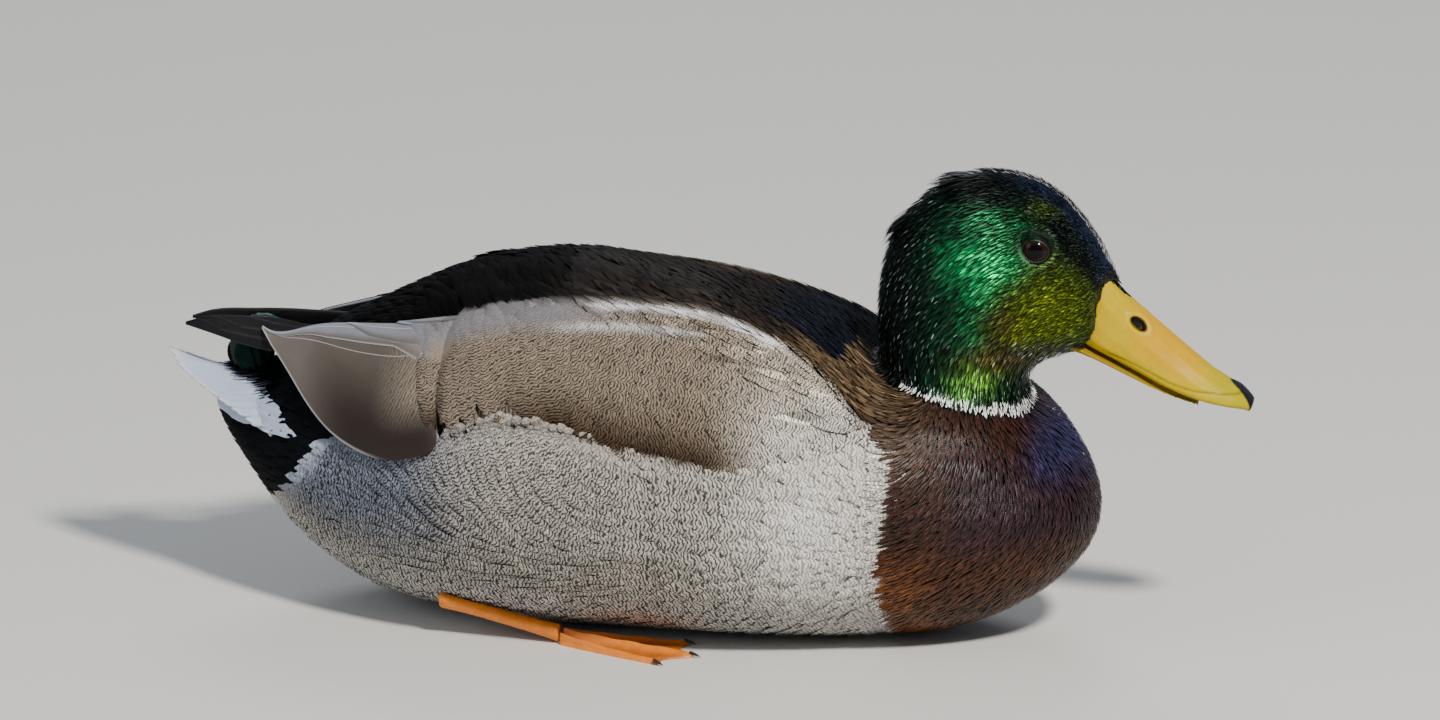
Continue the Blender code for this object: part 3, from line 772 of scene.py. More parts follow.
def scattered(wanted, apart, seed):
    """Places and normals on the wanted faces of the outer surface, about as far apart as given."""
    rng = np.random.default_rng(seed)
    corners = outer.points[outer.faces]
    area = np.linalg.norm(np.cross(corners[:, 2] - corners[:, 0], corners[:, 3] - corners[:, 1]), axis=1) / 2
    apart = np.broadcast_to(apart, len(corners))
    weight = np.where(wanted, area / apart**2, 0)
    chosen = rng.choice(len(corners), int(weight.sum() * 4), p=weight / weight.sum())
    u, v = rng.random((2, len(chosen), 1))
    at = corners[chosen]
    points = (at[:, 0] * (1 - u) + at[:, 1] * u) * (1 - v) + (at[:, 3] * (1 - u) + at[:, 2] * u) * v
    radius = apart[chosen]
    keys = np.floor(points / float(radius.max())).astype(int).tolist()
    around = [(i, j, k) for i in (-1, 0, 1) for j in (-1, 0, 1) for k in (-1, 0, 1)]
    taken, kept = {}, []

    def is_free(point, key, reach):
        for i, j, k in around:
            for other in taken.get((key[0] + i, key[1] + j, key[2] + k), ()):
                gap = (point[0] - other[0]) ** 2 + (point[1] - other[1]) ** 2 + (point[2] - other[2]) ** 2
                if gap < reach * reach:
                    return False
        return True

    for index, (point, key, reach) in enumerate(zip(points.tolist(), keys, radius.tolist())):
        if is_free(point, key, reach):
            taken.setdefault(tuple(key), []).append(point)
            kept.append(index)
    return points[kept], outer.face_normals[chosen[kept]]


def vane_outline(along, blunt):
    """A vane's half width as a share of its greatest, along its length from 0 to 1."""
    rise = np.sin(np.pi / 2 * np.clip(along / 0.45, 0.06, 1)) ** 0.8
    fall = (1 - np.clip((along - blunt) / (1 - blunt), 0, 0.995) ** 2) ** 0.6
    return rise * fall


def vanes(roots, normals, lie, length, half_width, depth, seed, rows=5, columns=3, rise=0.25, camber=0.25,
          blunt=0.5, jitter=0.10, lift=0.12, colours=colours_at, lightness=0.22, shaft=0.0, surface=outer,
          root_shade=1.0, fine=1.0, painted=False, spread=0.15):
    """Vanes that lie on the surface and overlap, from roots sunk by depth to tips that stand rise above it.

    Each takes its tint near its tip, or at each of its points where they are painted. spread is how far
    lengths stray, jitter how far headings do, and fine how much closer the waves and barbs are.
    """
    rng = np.random.default_rng(seed)
    count, size = len(roots), rows * columns
    length = np.broadcast_to(length, count) * rng.uniform(1 - spread, 1 + spread, count)
    half_width = np.broadcast_to(half_width, count) * rng.uniform(0.85, 1.15, count)
    depth, rise = np.broadcast_to(depth, count), np.broadcast_to(rise, count)
    heading = flattened(lie(roots), normals)
    heading = unit(heading + rng.normal(0, jitter, count)[:, None] * np.cross(normals, heading))
    along, across = np.linspace(0, 1, rows), np.linspace(-1, 1, columns)
    outline = vane_outline(along, blunt)
    tilt = rng.normal(0, lift, count)
    place, normal = roots, normals
    grid = np.empty((count, rows, columns, 3))
    for row, share in enumerate(along):
        if row:
            place, normal, _ = surface.nearest(place + heading * (length / (rows - 1))[:, None])
            bend = flattened(lie(place), normal)
            heading = flattened(heading + 0.25 * (bend - heading), normal)
        side = np.cross(normal, heading)
        height = -depth * (1 - share) ** 1.2 + rise * share + tilt * 0.5 * share
        wide = half_width * outline[row]
        for column, over in enumerate(across):
            drop = camber * wide * abs(over) ** 1.6
            lean = tilt * over * wide * 0.25
            offset = normal * (height - drop + lean)[:, None]
            grid[:, row, column] = place + side * (wide * over)[:, None] + offset
    if painted:
        tint, waves = colours(grid.reshape(-1, 3))
    else:
        tint, waves = colours(grid[:, int(rows * 0.75), columns // 2])
        tint, waves = np.repeat(tint, size, axis=0), np.repeat(waves, size)
    tint = tint * np.repeat(np.exp(rng.normal(0, lightness, count)), size)[:, None]
    # Each vane darkens toward its root: partly the feather's duller base, partly painted shade under the tips
    # that cover it.
    shade = root_shade + (1 - root_shade) * ramp(along, 0.1, 0.8)
    from_root = np.broadcast_to((length[:, None] * along)[:, :, None], (count, rows, columns))
    return {
        "grid": grid,
        "tint": tint * np.tile(np.repeat(shade, columns), count)[:, None],
        "waves": waves,
        "shaft": np.repeat(np.broadcast_to(shaft, count)[:, None] * (1 - along**3), columns),
        "across": fine * (half_width[:, None, None] * outline[None, :, None] * across[None, None, :]).ravel(),
        "along": fine * from_root.ravel(),
        "root": np.repeat(skin_map(roots), size, axis=0),
        "patch": np.tile(grid_places(along, (across + 1) / 2), (count, 1)),
        "phase": np.repeat(rng.random(count) * 40, size),
    }


def coat_piece(name, groups, material, replaces=(), patch=PATCH):
    """One piece from groups of vanes."""
    points, faces = join_arrays([
        (group["grid"].reshape(-1, 3), grid_faces(*group["grid"].shape[:3])) for group in groups
    ])
    joined = {key: np.concatenate([group[key] for group in groups]) for key in groups[0] if key != "grid"}
    mesh = make_mesh(name, points, faces)
    for key in ("tint", "waves", "shaft"):
        set_point_values(mesh, key, joined[key])
    set_uv(mesh, "vane", np.stack([joined["across"], joined["along"] + joined["phase"]], axis=1) / 10)
    set_uv(mesh, "OFBake", joined["root"] + joined["patch"] * patch)
    add_piece(name, mesh, material, replaces)


def without(group, drop):
    """A group less the vanes for which drop is true."""
    _, rows, columns = group["grid"].shape[:3]
    each = np.repeat(~drop, rows * columns)
    return {key: value[~drop] if key == "grid" else value[each] for key, value in group.items()}


def under_tertials(group):
    """The group without vanes that would come out through the tertial feathers."""
    grid = group["grid"]
    near = (grid[:, 0, 0, 0] < -66) & (grid[:, 0, 0, 0] > -158)
    outside = np.zeros(len(grid), bool)
    for index in np.flatnonzero(near):
        sheet = tertial_sheets["left" if grid[index, 0, 0, 1] > 0 else "right"]
        starts = grid[index].reshape(-1, 3) - 0.25 * sheet.view
        outside[index] = any(sheet.solid.hit(start, sheet.view, 6.0) is not None for start in starts)
    return without(group, outside)


def loose_group(grid, colour, lightness, rng):
    """Slender feathers given as grids of points, with one colour each."""
    count, rows, columns = grid.shape[:3]
    size = rows * columns
    middle = grid[:, :, columns // 2]
    across = np.linalg.norm(grid - middle[:, :, None], axis=3) * np.sign(np.arange(columns) - columns // 2)
    along = np.linalg.norm(middle - middle[:, :1], axis=2)
    tint = np.ones((count, 3)) * colour * np.exp(rng.normal(0, lightness, count))[:, None]
    return {
        "grid": grid,
        "tint": np.repeat(tint, size, axis=0),
        "waves": np.zeros(count * size),
        "shaft": np.zeros(count * size),
        "across": across.ravel(),
        "along": np.repeat(along.ravel(), columns),
        "root": np.repeat(skin_map(middle[:, 0]), size, axis=0),
        "phase": np.repeat(rng.random(count) * 40, size),
        "patch": np.tile(grid_places(np.linspace(0, 1, rows), np.linspace(0, 1, columns)), (count, 1)),
    }


# Materials.


class Nodes:
    """A material's node tree, built a node at a time."""

    def __init__(self, name):
        self.material = bpy.data.materials.new(name)
        self.material.use_nodes = True
        self.tree = self.material.node_tree
        self.shader = self.tree.nodes["Principled BSDF"]

    def put(self, node, key, value):
        if isinstance(value, bpy.types.NodeSocket):
            self.tree.links.new(value, node.inputs[key])
        else:
            node.inputs[key].default_value = value

    def add(self, kind, values, **settings):
        node = self.tree.nodes.new(kind)
        for key, value in settings.items():
            setattr(node, key, value)
        for key, value in values.items():
            self.put(node, key, value)
        return node

    def set(self, **values):
        for key, value in values.items():
            self.put(self.shader, key.replace("_", " "), value)

    def math(self, operation, *values):
        return self.add("ShaderNodeMath", dict(enumerate(values)), operation=operation).outputs[0]

    def mixed(self, share, first, second):
        return self.add("ShaderNodeMix", {0: share, 6: first, 7: second}, data_type="RGBA").outputs[2]

    def scaled(self, colour, factor):
        values = {0: colour, "Scale": factor}
        return self.add("ShaderNodeVectorMath", values, operation="SCALE").outputs[0]

    def ranged(self, value, start, end, first=0.0, last=1.0, **settings):
        values = {0: value, 1: start, 2: end, 3: first, 4: last}
        return self.add("ShaderNodeMapRange", values, **settings).outputs[0]

    def noise(self, place, scale, detail):
        values = {"Vector": place, "Scale": scale, "Detail": detail}
        return self.add("ShaderNodeTexNoise", values).outputs[0]

    def stored(self, name, output="Fac"):
        return self.add("ShaderNodeAttribute", {}, attribute_name=name).outputs[output]

    def object_place(self):
        return self.add("ShaderNodeTexCoord", {}).outputs["Object"]


WAVE_PITCH = 1.45  # of the fine dark waves, from one to the next
WAVE_BEND = 0.26  # how far they stray, in centimetres
BARB_PITCH = 0.55
BARB_SLANT = 0.45
BARB_BEND = 9.0  # how far they stray, in radians
TURNS = 2 * math.pi * 10  # radians to a centimetre, at a pitch of 1


def plumage(name, roughness, metallic=0.0, coat=0.0, barbs=0.35, barb_dark=0.10, wave_dark=0.13, noise=0.25,
            specular=0.5, shaft_colour=SHAFT_WHITE):
    """Feathers: their stored tint, crossed by fine dark waves, with barbs that slant out from the shaft."""
    nodes = Nodes(name)
    vane = nodes.add("ShaderNodeUVMap", {}, uv_map="vane").outputs[0]
    parts = nodes.add("ShaderNodeSeparateXYZ", {0: vane})
    out = nodes.math("ABSOLUTE", parts.outputs[0])
    slanted = nodes.math("SUBTRACT", parts.outputs[1], nodes.math("MULTIPLY", out, BARB_SLANT))
    bend = nodes.noise(vane, 4.2, 1.0)
    patchy = nodes.noise(vane, 1.6, 3.0)

    bent = nodes.math("ADD", slanted, nodes.math("MULTIPLY", bend, WAVE_BEND))
    wave = nodes.math("SINE", nodes.math("MULTIPLY", bent, TURNS / WAVE_PITCH))
    wave = nodes.math("MULTIPLY_ADD", wave, 0.5, 0.5)
    wave = nodes.ranged(wave, 0.34, 0.66, interpolation_type="SMOOTHSTEP")
    broken = nodes.ranged(nodes.noise(vane, 5.5, 1.0), 0.36, 0.5, 0.6, 1.0)
    dark = nodes.math("MULTIPLY", nodes.math("MULTIPLY", wave, broken), nodes.stored("waves"))
    level = nodes.ranged(patchy, 0.25, 0.75, 1 - noise, 1 + noise)
    shade = nodes.scaled(nodes.stored("tint", "Color"), level)
    colour = nodes.mixed(dark, shade, nodes.scaled(shade, wave_dark))

    turned = nodes.math("MULTIPLY", slanted, TURNS / BARB_PITCH)
    barb = nodes.math("SINE", nodes.math("ADD", turned, nodes.math("MULTIPLY", bend, BARB_BEND)))
    colour = nodes.scaled(colour, nodes.math("MULTIPLY_ADD", barb, barb_dark, 0.92))
    near_shaft = nodes.math("MULTIPLY", nodes.ranged(out, 0.020, 0.008), nodes.stored("shaft"))
    colour = nodes.mixed(near_shaft, colour, (*shaft_colour, 1.0))
    bump = nodes.add("ShaderNodeBump", {"Height": barb, "Strength": barbs, "Distance": 0.0002}).outputs[0]
    rough = nodes.ranged(patchy, 0.3, 0.7, roughness - 0.08, roughness + 0.08)
    nodes.set(Base_Color=colour, Roughness=rough, Metallic=metallic, Normal=bump, Specular_IOR_Level=specular,
              Coat_Weight=coat, Coat_Roughness=0.25)
    return nodes.material


def grained(name, roughness, grain, depth=0.0002, strength=0.4, specular=0.5, tone=0.25, stretch=(1, 1, 1)):
    """A surface with a stored tint and fine grain."""
    nodes = Nodes(name)
    place = nodes.add("ShaderNodeMapping", {"Vector": nodes.object_place(), "Scale": stretch}).outputs[0]
    noise = nodes.noise(place, grain, 3.0)
    broad = nodes.noise(place, grain / 7, 2.0)
    mixed = nodes.math("MULTIPLY", nodes.math("ADD", noise, broad), 0.5)
    colour = nodes.scaled(nodes.stored("tint", "Color"), nodes.ranged(mixed, 0.3, 0.7, 1 - tone, 1 + tone))
    bump = nodes.add("ShaderNodeBump", {"Height": noise, "Strength": strength, "Distance": depth}).outputs[0]
    rough = nodes.ranged(broad, 0.3, 0.7, roughness - 0.07, roughness + 0.07)
    nodes.set(Base_Color=colour, Roughness=rough, Normal=bump, Coat_Roughness=0.15,
              Specular_IOR_Level=specular)
    return nodes.material


# The stage.

FLOOR_REACH = 6.0
# Each light's name, place in metres, height of its target, size, power and colour.
LIGHTS = (
    ("key", (1.30, -1.50, 2.00), 0.06, 0.34, 112, (1.0, 0.965, 0.91)),
    ("fill", (-1.8, -1.6, 1.2), 0.06, 1.6, 13, (0.86, 0.92, 1.0)),
    ("back", (-0.6, 2.0, 1.8), 0.08, 1.2, 16, (0.93, 0.96, 1.0)),
)


def aimed(obj, place, target):
    obj.location = place
    obj.rotation_euler = (Vector(target) - Vector(place)).to_track_quat("-Z", "Y").to_euler()


def make_stage():
    mesh = bpy.data.meshes.new("floor")
    corners = [(x * FLOOR_REACH, y * FLOOR_REACH, 0) for x, y in ((-1, -1), (1, -1), (1, 1), (-1, 1))]
    mesh.from_pydata(corners, [], [(0, 1, 2, 3)])
    nodes = Nodes("floor_paint")
    grain = nodes.add("ShaderNodeTexNoise", {"Scale": 3.0, "Detail": 3.0}).outputs[0]
    nodes.set(Base_Color=nodes.mixed(grain, (0.66, 0.645, 0.61, 1), (0.70, 0.685, 0.65, 1)), Roughness=0.7)
    mesh.materials.append(nodes.material)
    add_object("floor", mesh)
    for name, place, height, size, power, colour in LIGHTS:
        light = bpy.data.lights.new(name, "AREA")
        light.shape = "DISK"
        light.size = size
        light.energy = power
        light.color = colour
        aimed(add_object(name, light), place, (0, 0, height))
    world = bpy.data.worlds.new("sky")
    world.use_nodes = True
    sky = world.node_tree.nodes["Background"]
    sky.inputs["Color"].default_value = (0.80, 0.88, 1.0, 1)
    sky.inputs["Strength"].default_value = 0.30
    bpy.context.scene.world = world


# The camera's place, as angles round the bird's right and above the floor, and its distance in metres.
CAMERA_AROUND, CAMERA_ABOVE, CAMERA_AWAY = math.radians(14.0), math.radians(15.5), 5.0
CAMERA_HEIGHT = 0.036  # of the point that those are measured from, in metres
CAMERA_SHIFT = (0.0112, 0.0561)  # how far right of that point and above it the camera looks, in metres
CAMERA_LENS, CAMERA_SENSOR = 347.5, 36.0


def make_camera():
    """A long lens from the bird's right, a little ahead of it and above."""
    right = Vector((math.cos(CAMERA_AROUND), math.sin(CAMERA_AROUND), 0))
    level = Vector((math.sin(CAMERA_AROUND), -math.cos(CAMERA_AROUND), 0))
    back = level * math.cos(CAMERA_ABOVE) + Vector((0, 0, math.sin(CAMERA_ABOVE)))
    centre = Vector((0, 0, CAMERA_HEIGHT))
    camera = bpy.data.cameras.new("camera")
    camera.lens = CAMERA_LENS
    camera.sensor_width = CAMERA_SENSOR
    obj = add_object("camera", camera)
    target = centre + right * CAMERA_SHIFT[0] + back.cross(right) * CAMERA_SHIFT[1]
    aimed(obj, centre + back * CAMERA_AWAY, target)
    bpy.context.scene.camera = obj


# The head's coat.


def make_head_coat():
    material = plumage("head_feathers", 0.40, metallic=0.8, barbs=0.06, noise=0.35, specular=0.3,
                       barb_dark=0.03)
    covered = (regions == HEAD) & (off_bare(centres) > 0.7)
    for seed, (name, part, more) in enumerate((
        ("face_coat", centre_face >= 0.5, (make_forehead,)),
        ("nape_coat", centre_face < 0.5, (make_crest, make_glints)),
    )):
        roots, normals = scattered(covered & part, 1.32 - 0.50 * centre_face, seed=11 + seed)
        face = face_share(roots)
        length = np.minimum(5.6 - 3.0 * face, 1.1 + off_bare(roots) * 1.6)
        group = vanes(roots, normals, head_lie, length, 0.56 - 0.22 * face, 1.2 - 0.5 * face, seed=21 + seed,
                      rows=4, blunt=0.35, jitter=0.13, lift=0.35, camber=0.35, colours=head_only,
                      lightness=0.6, root_shade=0.12)
        coat_piece(name, [group] + [make() for make in more], material)


def make_crest():
    """Loose tufts at the back of the crown and of the nape."""
    rng = np.random.default_rng(27)
    each = 46
    count = 2 * each
    ahead, up = np.repeat([6.0, -15.5], each), np.repeat([172.0, 156.5], each)
    ahead = ahead + rng.normal(0, 2.2, count)
    left = rng.normal(0, 4.5, count)
    up = up + rng.normal(0, 2, count)
    roots, normals, _ = outer.nearest(from_head(np.stack([ahead, left, up], axis=1)))
    return vanes(roots, normals, head_lie, 9.0, 0.6, 0.8, seed=28, blunt=0.2, jitter=0.16, lift=0.5,
                 rise=2.4, colours=head_only, lightness=0.4, root_shade=0.5)


def make_glints():
    """Tiny pale tips on the nape and the lower neck: painted glints, where the light catches the feathers."""
    place = head_place(centres)
    dark = np.maximum(ramp(place[:, 0], 6, -4), ramp(place[:, 2], 122, 112)) > 0.5
    some = np.random.default_rng(35).random(len(dark)) < 0.4
    roots, normals = scattered(dark & some & (regions == HEAD), 1.9, seed=29)
    return vanes(roots, normals, head_lie, 2.0, 0.16, -0.35, seed=30, rows=4, blunt=0.3, jitter=0.2,
                 rise=0.75, colours=one_colour(GLINT_GREEN), lightness=0.8)


def make_forehead():
    """The point of fine feathers that runs onto the bill's ridge."""
    rng = np.random.default_rng(33)
    count = 130
    ahead = rng.uniform(59, 67.5, count)
    side = rng.uniform(-1, 1, count) * 4.6 * (68.5 - ahead) / 9.5
    above = from_head(np.stack([ahead, side, 134 - 1.0 * (ahead - 60)], axis=1))
    roots, normals, _ = solids["bill_upper"].nearest(above)
    return vanes(roots, normals, head_lie, 2.2, 0.28, -0.05, seed=34, rows=4, blunt=0.3, jitter=0.15,
                 rise=0.3, colours=one_colour(FOREHEAD_BLACK), lightness=0.4, surface=solids["bill_upper"])


def make_collar():
    material = plumage("collar_feathers", 0.6, barbs=0.3, noise=0.08)
    roots, normals = scattered(regions == COLLAR, 0.8, seed=31)
    group = vanes(roots, normals, head_lie, 2.9, 0.36, 0.7, seed=32, rows=4, blunt=0.25, jitter=0.2,
                  lift=0.35, rise=0.45, colours=collar_paint, lightness=0.10)
    coat_piece("collar_coat", [group], material)


# The body's coat.


def make_breast_coat():
    glossy = plumage("breast_feathers", 0.34, coat=0.1, barbs=0.3, noise=0.3, specular=0.22)
    for name, side in SIDES:
        roots, normals = scattered((regions == BREAST) & (centres[:, 1] * side >= 0), 1.04, seed=41)
        group = vanes(roots, normals, trunk_lie, 6.2, 0.50, 1.2, seed=42, jitter=0.12, lift=0.16, blunt=0.35,
                      lightness=0.36, root_shade=0.6)
        coat_piece(f"breast_coat_{name}", [group], glossy)


def make_flank_coat(material):
    """Short vanes at the breast's edge, broad ones behind them, and a fan that sweeps up onto the wing."""
    by_breast = (regions == BREAST) & (centre_x < 93) & (centre_angle > 50)
    wanted = ((regions == FLANK) | by_breast) & (centre_x > 66) & (centre_angle < 130)
    roots, normals = scattered(wanted, 2.6, seed=50)
    front = vanes(roots, normals, trunk_lie, 12, 2.6, 1.9, seed=57, jitter=0.06, lightness=0.05, lift=0.04)

    apart = 4.0 - 1.6 * ramp(centre_x, -86, -106)
    roots, normals = scattered((regions == FLANK) & (centre_x < 77), apart, seed=51)
    near = ramp(roots[:, 0], -86, -106)
    flank = vanes(roots, normals, trunk_lie, 20 - 9 * near, 5.0 - 2.8 * near, 2.0, seed=52, rows=7,
                  columns=5, jitter=0.06, lightness=0.05, lift=0.04, colours=flank_only)

    roots, normals = scattered(regions == FAN, 2.5, seed=53)
    x, angle = trunk_place(roots)
    steep = fan_slope(x, angle)
    room = (angle - np.interp(x - 12, *WING_EDGE)) * 1.25 / np.maximum(np.sin(steep), 0.3)
    shown = 0.5 * ramp(x, -8, -30) * ramp(angle, 118, 104)
    fan = vanes(roots, normals, trunk_lie, np.clip(room, 5, 32), 2.0, 2.2, seed=54, rows=9, jitter=0.035,
                lightness=0.08, shaft=shown, blunt=0.4, colours=flank_only, lift=0.03, camber=0.1, rise=0.1,
                spread=0.04)
    coat_piece("flank_coat", [front, under_tertials(flank), under_tertials(fan)], material)


def make_belly_coat(material):
    roots, normals = scattered(regions == BELLY, 3.6, seed=55)
    group = vanes(roots, normals, trunk_lie, 14, 3.6, 1.8, seed=56, lightness=0.08)
    group["grid"][..., 2] = np.maximum(group["grid"][..., 2], 0.15)
    coat_piece("belly_coat", [group], material)


def make_wing_coat(material):
    """Broad vanes, and narrow ones by the back. The last ones lie on the tertials."""
    wing = (regions == WING) & (centre_x > -80)
    by_back = wing & (centre_angle - np.interp(centre_x, *BACK_EDGE) < 15)
    roots, normals = scattered(wing & ~by_back, 4.2, seed=61)
    x, angle = trunk_place(roots)
    last = ramp(x, -46, -54)
    low = ramp(np.interp(x, *WING_EDGE) - angle, 12, 3) * ramp(x, -26, -42)
    broad = vanes(roots, normals, trunk_lie, 24 + 3 * last, 6.5 - last - low, 2.0 - 1.9 * last, seed=62,
                  rows=9, columns=5, jitter=0.06, lightness=0.05, surface=with_tertials, fine=1.2,
                  rise=0.25 + 0.75 * last, lift=0.06, painted=True)
    roots, normals = scattered(by_back, 2.7, seed=63)
    last = ramp(roots[:, 0], -46, -54)
    narrow = vanes(roots, normals, trunk_lie, 21 + 8 * last, 2.1, 1.8 - 1.7 * last, seed=64, rows=9,
                   jitter=0.05, lightness=0.26, surface=with_tertials, fine=1.2, rise=0.25 + 1.0 * last,
                   painted=True)
    coat_piece("wing_coat", [broad, narrow], material)


def make_mantle_coat():
    mantle = plumage("mantle_feathers", 0.50, barbs=0.3, noise=0.3, specular=0.08)
    roots, normals = scattered(regions == BACK, 2.2 - 0.7 * ramp(centre_x, 10, 30), seed=71)
    fine = ramp(roots[:, 0], 10, 30)
    group = vanes(roots, normals, trunk_lie, 13 - 4 * fine, 2.1 - 1.1 * fine, 1.9, seed=72, rows=6,
                  lightness=0.45)
    coat_piece("mantle_coat", [group], mantle)


def make_rump_coat():
    covert = plumage("covert_feathers", 0.62, barbs=0.3, noise=0.3, specular=0.05)
    roots, normals = scattered(np.isin(regions, (RUMP, UNDERTAIL)), 2.7, seed=81)
    clear = ~on_wedge(roots + np.array([-6.5, 0, 1.8]))
    group = vanes(roots[clear], normals[clear], trunk_lie, 13, 2.2, 1.9, seed=82, rows=6, lightness=0.3,
                  blunt=0.25)
    groups = [under_tertials(group), tail_coverts(1), tail_coverts(-1), curl_plumes()]
    coat_piece("rump_coat", groups, covert)


# Large feathers, made as closed, thin bodies.


def large_feather(points, share, along, tint, waves, place, total, offset):
    """A grid of points as one feather, on its own square of a map of total by total squares."""
    rows = len(points)
    width = np.linalg.norm(np.diff(points, axis=1), axis=2)
    across = np.concatenate([np.zeros((rows, 1)), np.cumsum(width, axis=1)], axis=1)
    across = across - offset * across[:, -1:]
    row, column = divmod(place, total)
    spots = np.stack([share, along], axis=-1).reshape(-1, 2)
    count = across.size
    return {
        "grid": points[None],
        "tint": tint,
        "waves": waves,
        "shaft": np.full(count, 0.4),
        "across": across.ravel(),
        "along": np.abs(points[..., 0] - points[0, 0, 0]).ravel(),
        "root": (np.array([column, row]) + 0.04 + 0.92 * spots) / total,
        "patch": np.zeros((count, 2)),
        "phase": np.full(count, place * 7.3),
    }


def both_faces(outer_grid, inner_grid):
    """One closed loop of columns round a thin feather, from its low edge over the outer face and back."""
    return np.concatenate([outer_grid, inner_grid[:, ::-1], outer_grid[:, :1]], axis=1)


def shares(rows, columns):
    """For a grid of points: how far across and how far along each is, from 0 to 1."""
    return np.meshgrid(np.linspace(0, 1, columns), np.linspace(0, 1, rows))


def overlaid(sheet, x, drop, lift, columns):
    """Points of a feather that lies on a sheet's outer face, from its upper edge down by drop at each x."""
    share = np.linspace(0, 1, columns)
    high = np.interp(-x, -sheet.x, sheet.high)
    low = np.interp(-x, -sheet.x, sheet.low)
    rows = np.interp(-x, -sheet.x, np.arange(len(sheet.x)))
    heights = high[:, None] - np.minimum(drop, high - low)[:, None] * (1 - share)
    at = (heights - low[:, None]) / np.maximum(high - low, 0.1)[:, None]
    near = np.clip(rows.astype(int), 0, len(sheet.x) - 2)
    part = rows - near
    points = np.empty((len(x), columns, 3))
    for row in range(len(x)):
        for axis in range(3):
            first = np.interp(at[row], sheet.share, sheet.outer[near[row], :, axis])
            second = np.interp(at[row], sheet.share, sheet.outer[near[row] + 1, :, axis])
            points[row, :, axis] = first * (1 - part[row]) + second * part[row]
    raised = lift * (0.45 + 0.55 * np.sin(np.pi / 2 * np.clip(share * 3, 0, 1)))
    ahead = ramp(x, -93, -80)
    raised = raised[None] * (1 - ahead[:, None]) - 0.4 * ahead[:, None]
    return points - raised[..., None] * sheet.view


# The silvery feathers on the tertials: each one's tip along x, its edge, and how far it is lifted.
OVERLAY_ROOT_X, OVERLAY_ROWS, OVERLAY_COLUMNS = -77, 44, 12
OVERLAYS = ((-155.6, SECOND_TERTIAL, 0.5), (-121.5, THIRD_TERTIAL, 0.8))


def tertial_body(sheet):
    """All of a wing's tertials as one closed body, with a pale line along its lower edge."""
    points = both_faces(sheet.outer, sheet.inner)
    around = points.shape[1]
    flat = points.reshape(-1, 3)
    colour, waves = tertial_paint(flat)
    edge = np.abs(0.8 * flat[:, 2] - 0.6 * np.abs(flat[:, 1]) - np.repeat(sheet.low, around))
    edge = edge / np.sqrt(1 + np.repeat(np.gradient(sheet.low, sheet.x), around) ** 2)
    colour = mix(colour, TERTIAL_EDGE, ramp(edge, 0.65, 0.2) * ramp(flat[:, 0], -94, -108) * 0.8)
    return large_feather(points, *shares(*points.shape[:2]), colour, waves, 0, 2, offset=0.36)


def silvery_feather(sheet, side, place, end, depth, lift):
    """One feather laid on the tertials, from its root to its end along x."""
    x = np.linspace(OVERLAY_ROOT_X, end, OVERLAY_ROWS)
    points = overlaid(sheet, x, np.interp(x, *depth), lift, OVERLAY_COLUMNS)
    share, along = shares(OVERLAY_ROWS, OVERLAY_COLUMNS)
    x, across = np.repeat(x, OVERLAY_COLUMNS), share.ravel()
    colour = mix(TERTIAL_PALE, TERTIAL_SILVER, ramp(across, 0.05, 0.5))
    colour = mix(colour, TERTIAL_EDGE, ramp(across, 0.05, 0.01))
    colour = mix(colour, WING_GREY, ramp(x, -100, -82) * 0.5)
    if side > 0:
        colour = mix(colour, CHARCOAL_EDGE, ramp(across, 0.45, 0.75))
    return large_feather(points, share, along, colour, 0.35 * ramp(x, -100, -84), place, 2, offset=0.72)


def make_tertials():
    """Each wing's tertials as one closed body, with two silvery feathers laid on it."""
    material = plumage("tertial_feathers", 0.52, barbs=0.25, noise=0.06, specular=0.35, wave_dark=0.35)
    for name, side in SIDES:
        sheet = tertial_sheets[name]
        groups = [tertial_body(sheet)]
        for place, (end, depth, lift) in enumerate(OVERLAYS, start=1):
            groups.append(silvery_feather(sheet, side, place, end, depth, lift))
        replaced = (f"tertials_{name}",)
        coat_piece(f"tertial_feathers_{name}", groups, material, replaced, patch=0.0)


FLIGHT_X = np.concatenate([np.linspace(-141.2, -180, 40), np.linspace(-180.8, -186.2, 8)])
FLIGHT_AHEAD = np.linspace(17, 1.7, 10)  # how far the flight feathers' rows under the tertials reach forward
FLIGHT_EDGES = ((0.30, 0.96), (0.58, 0.80), (0.80, 0.50))  # where each starts up the wing, and ends along it


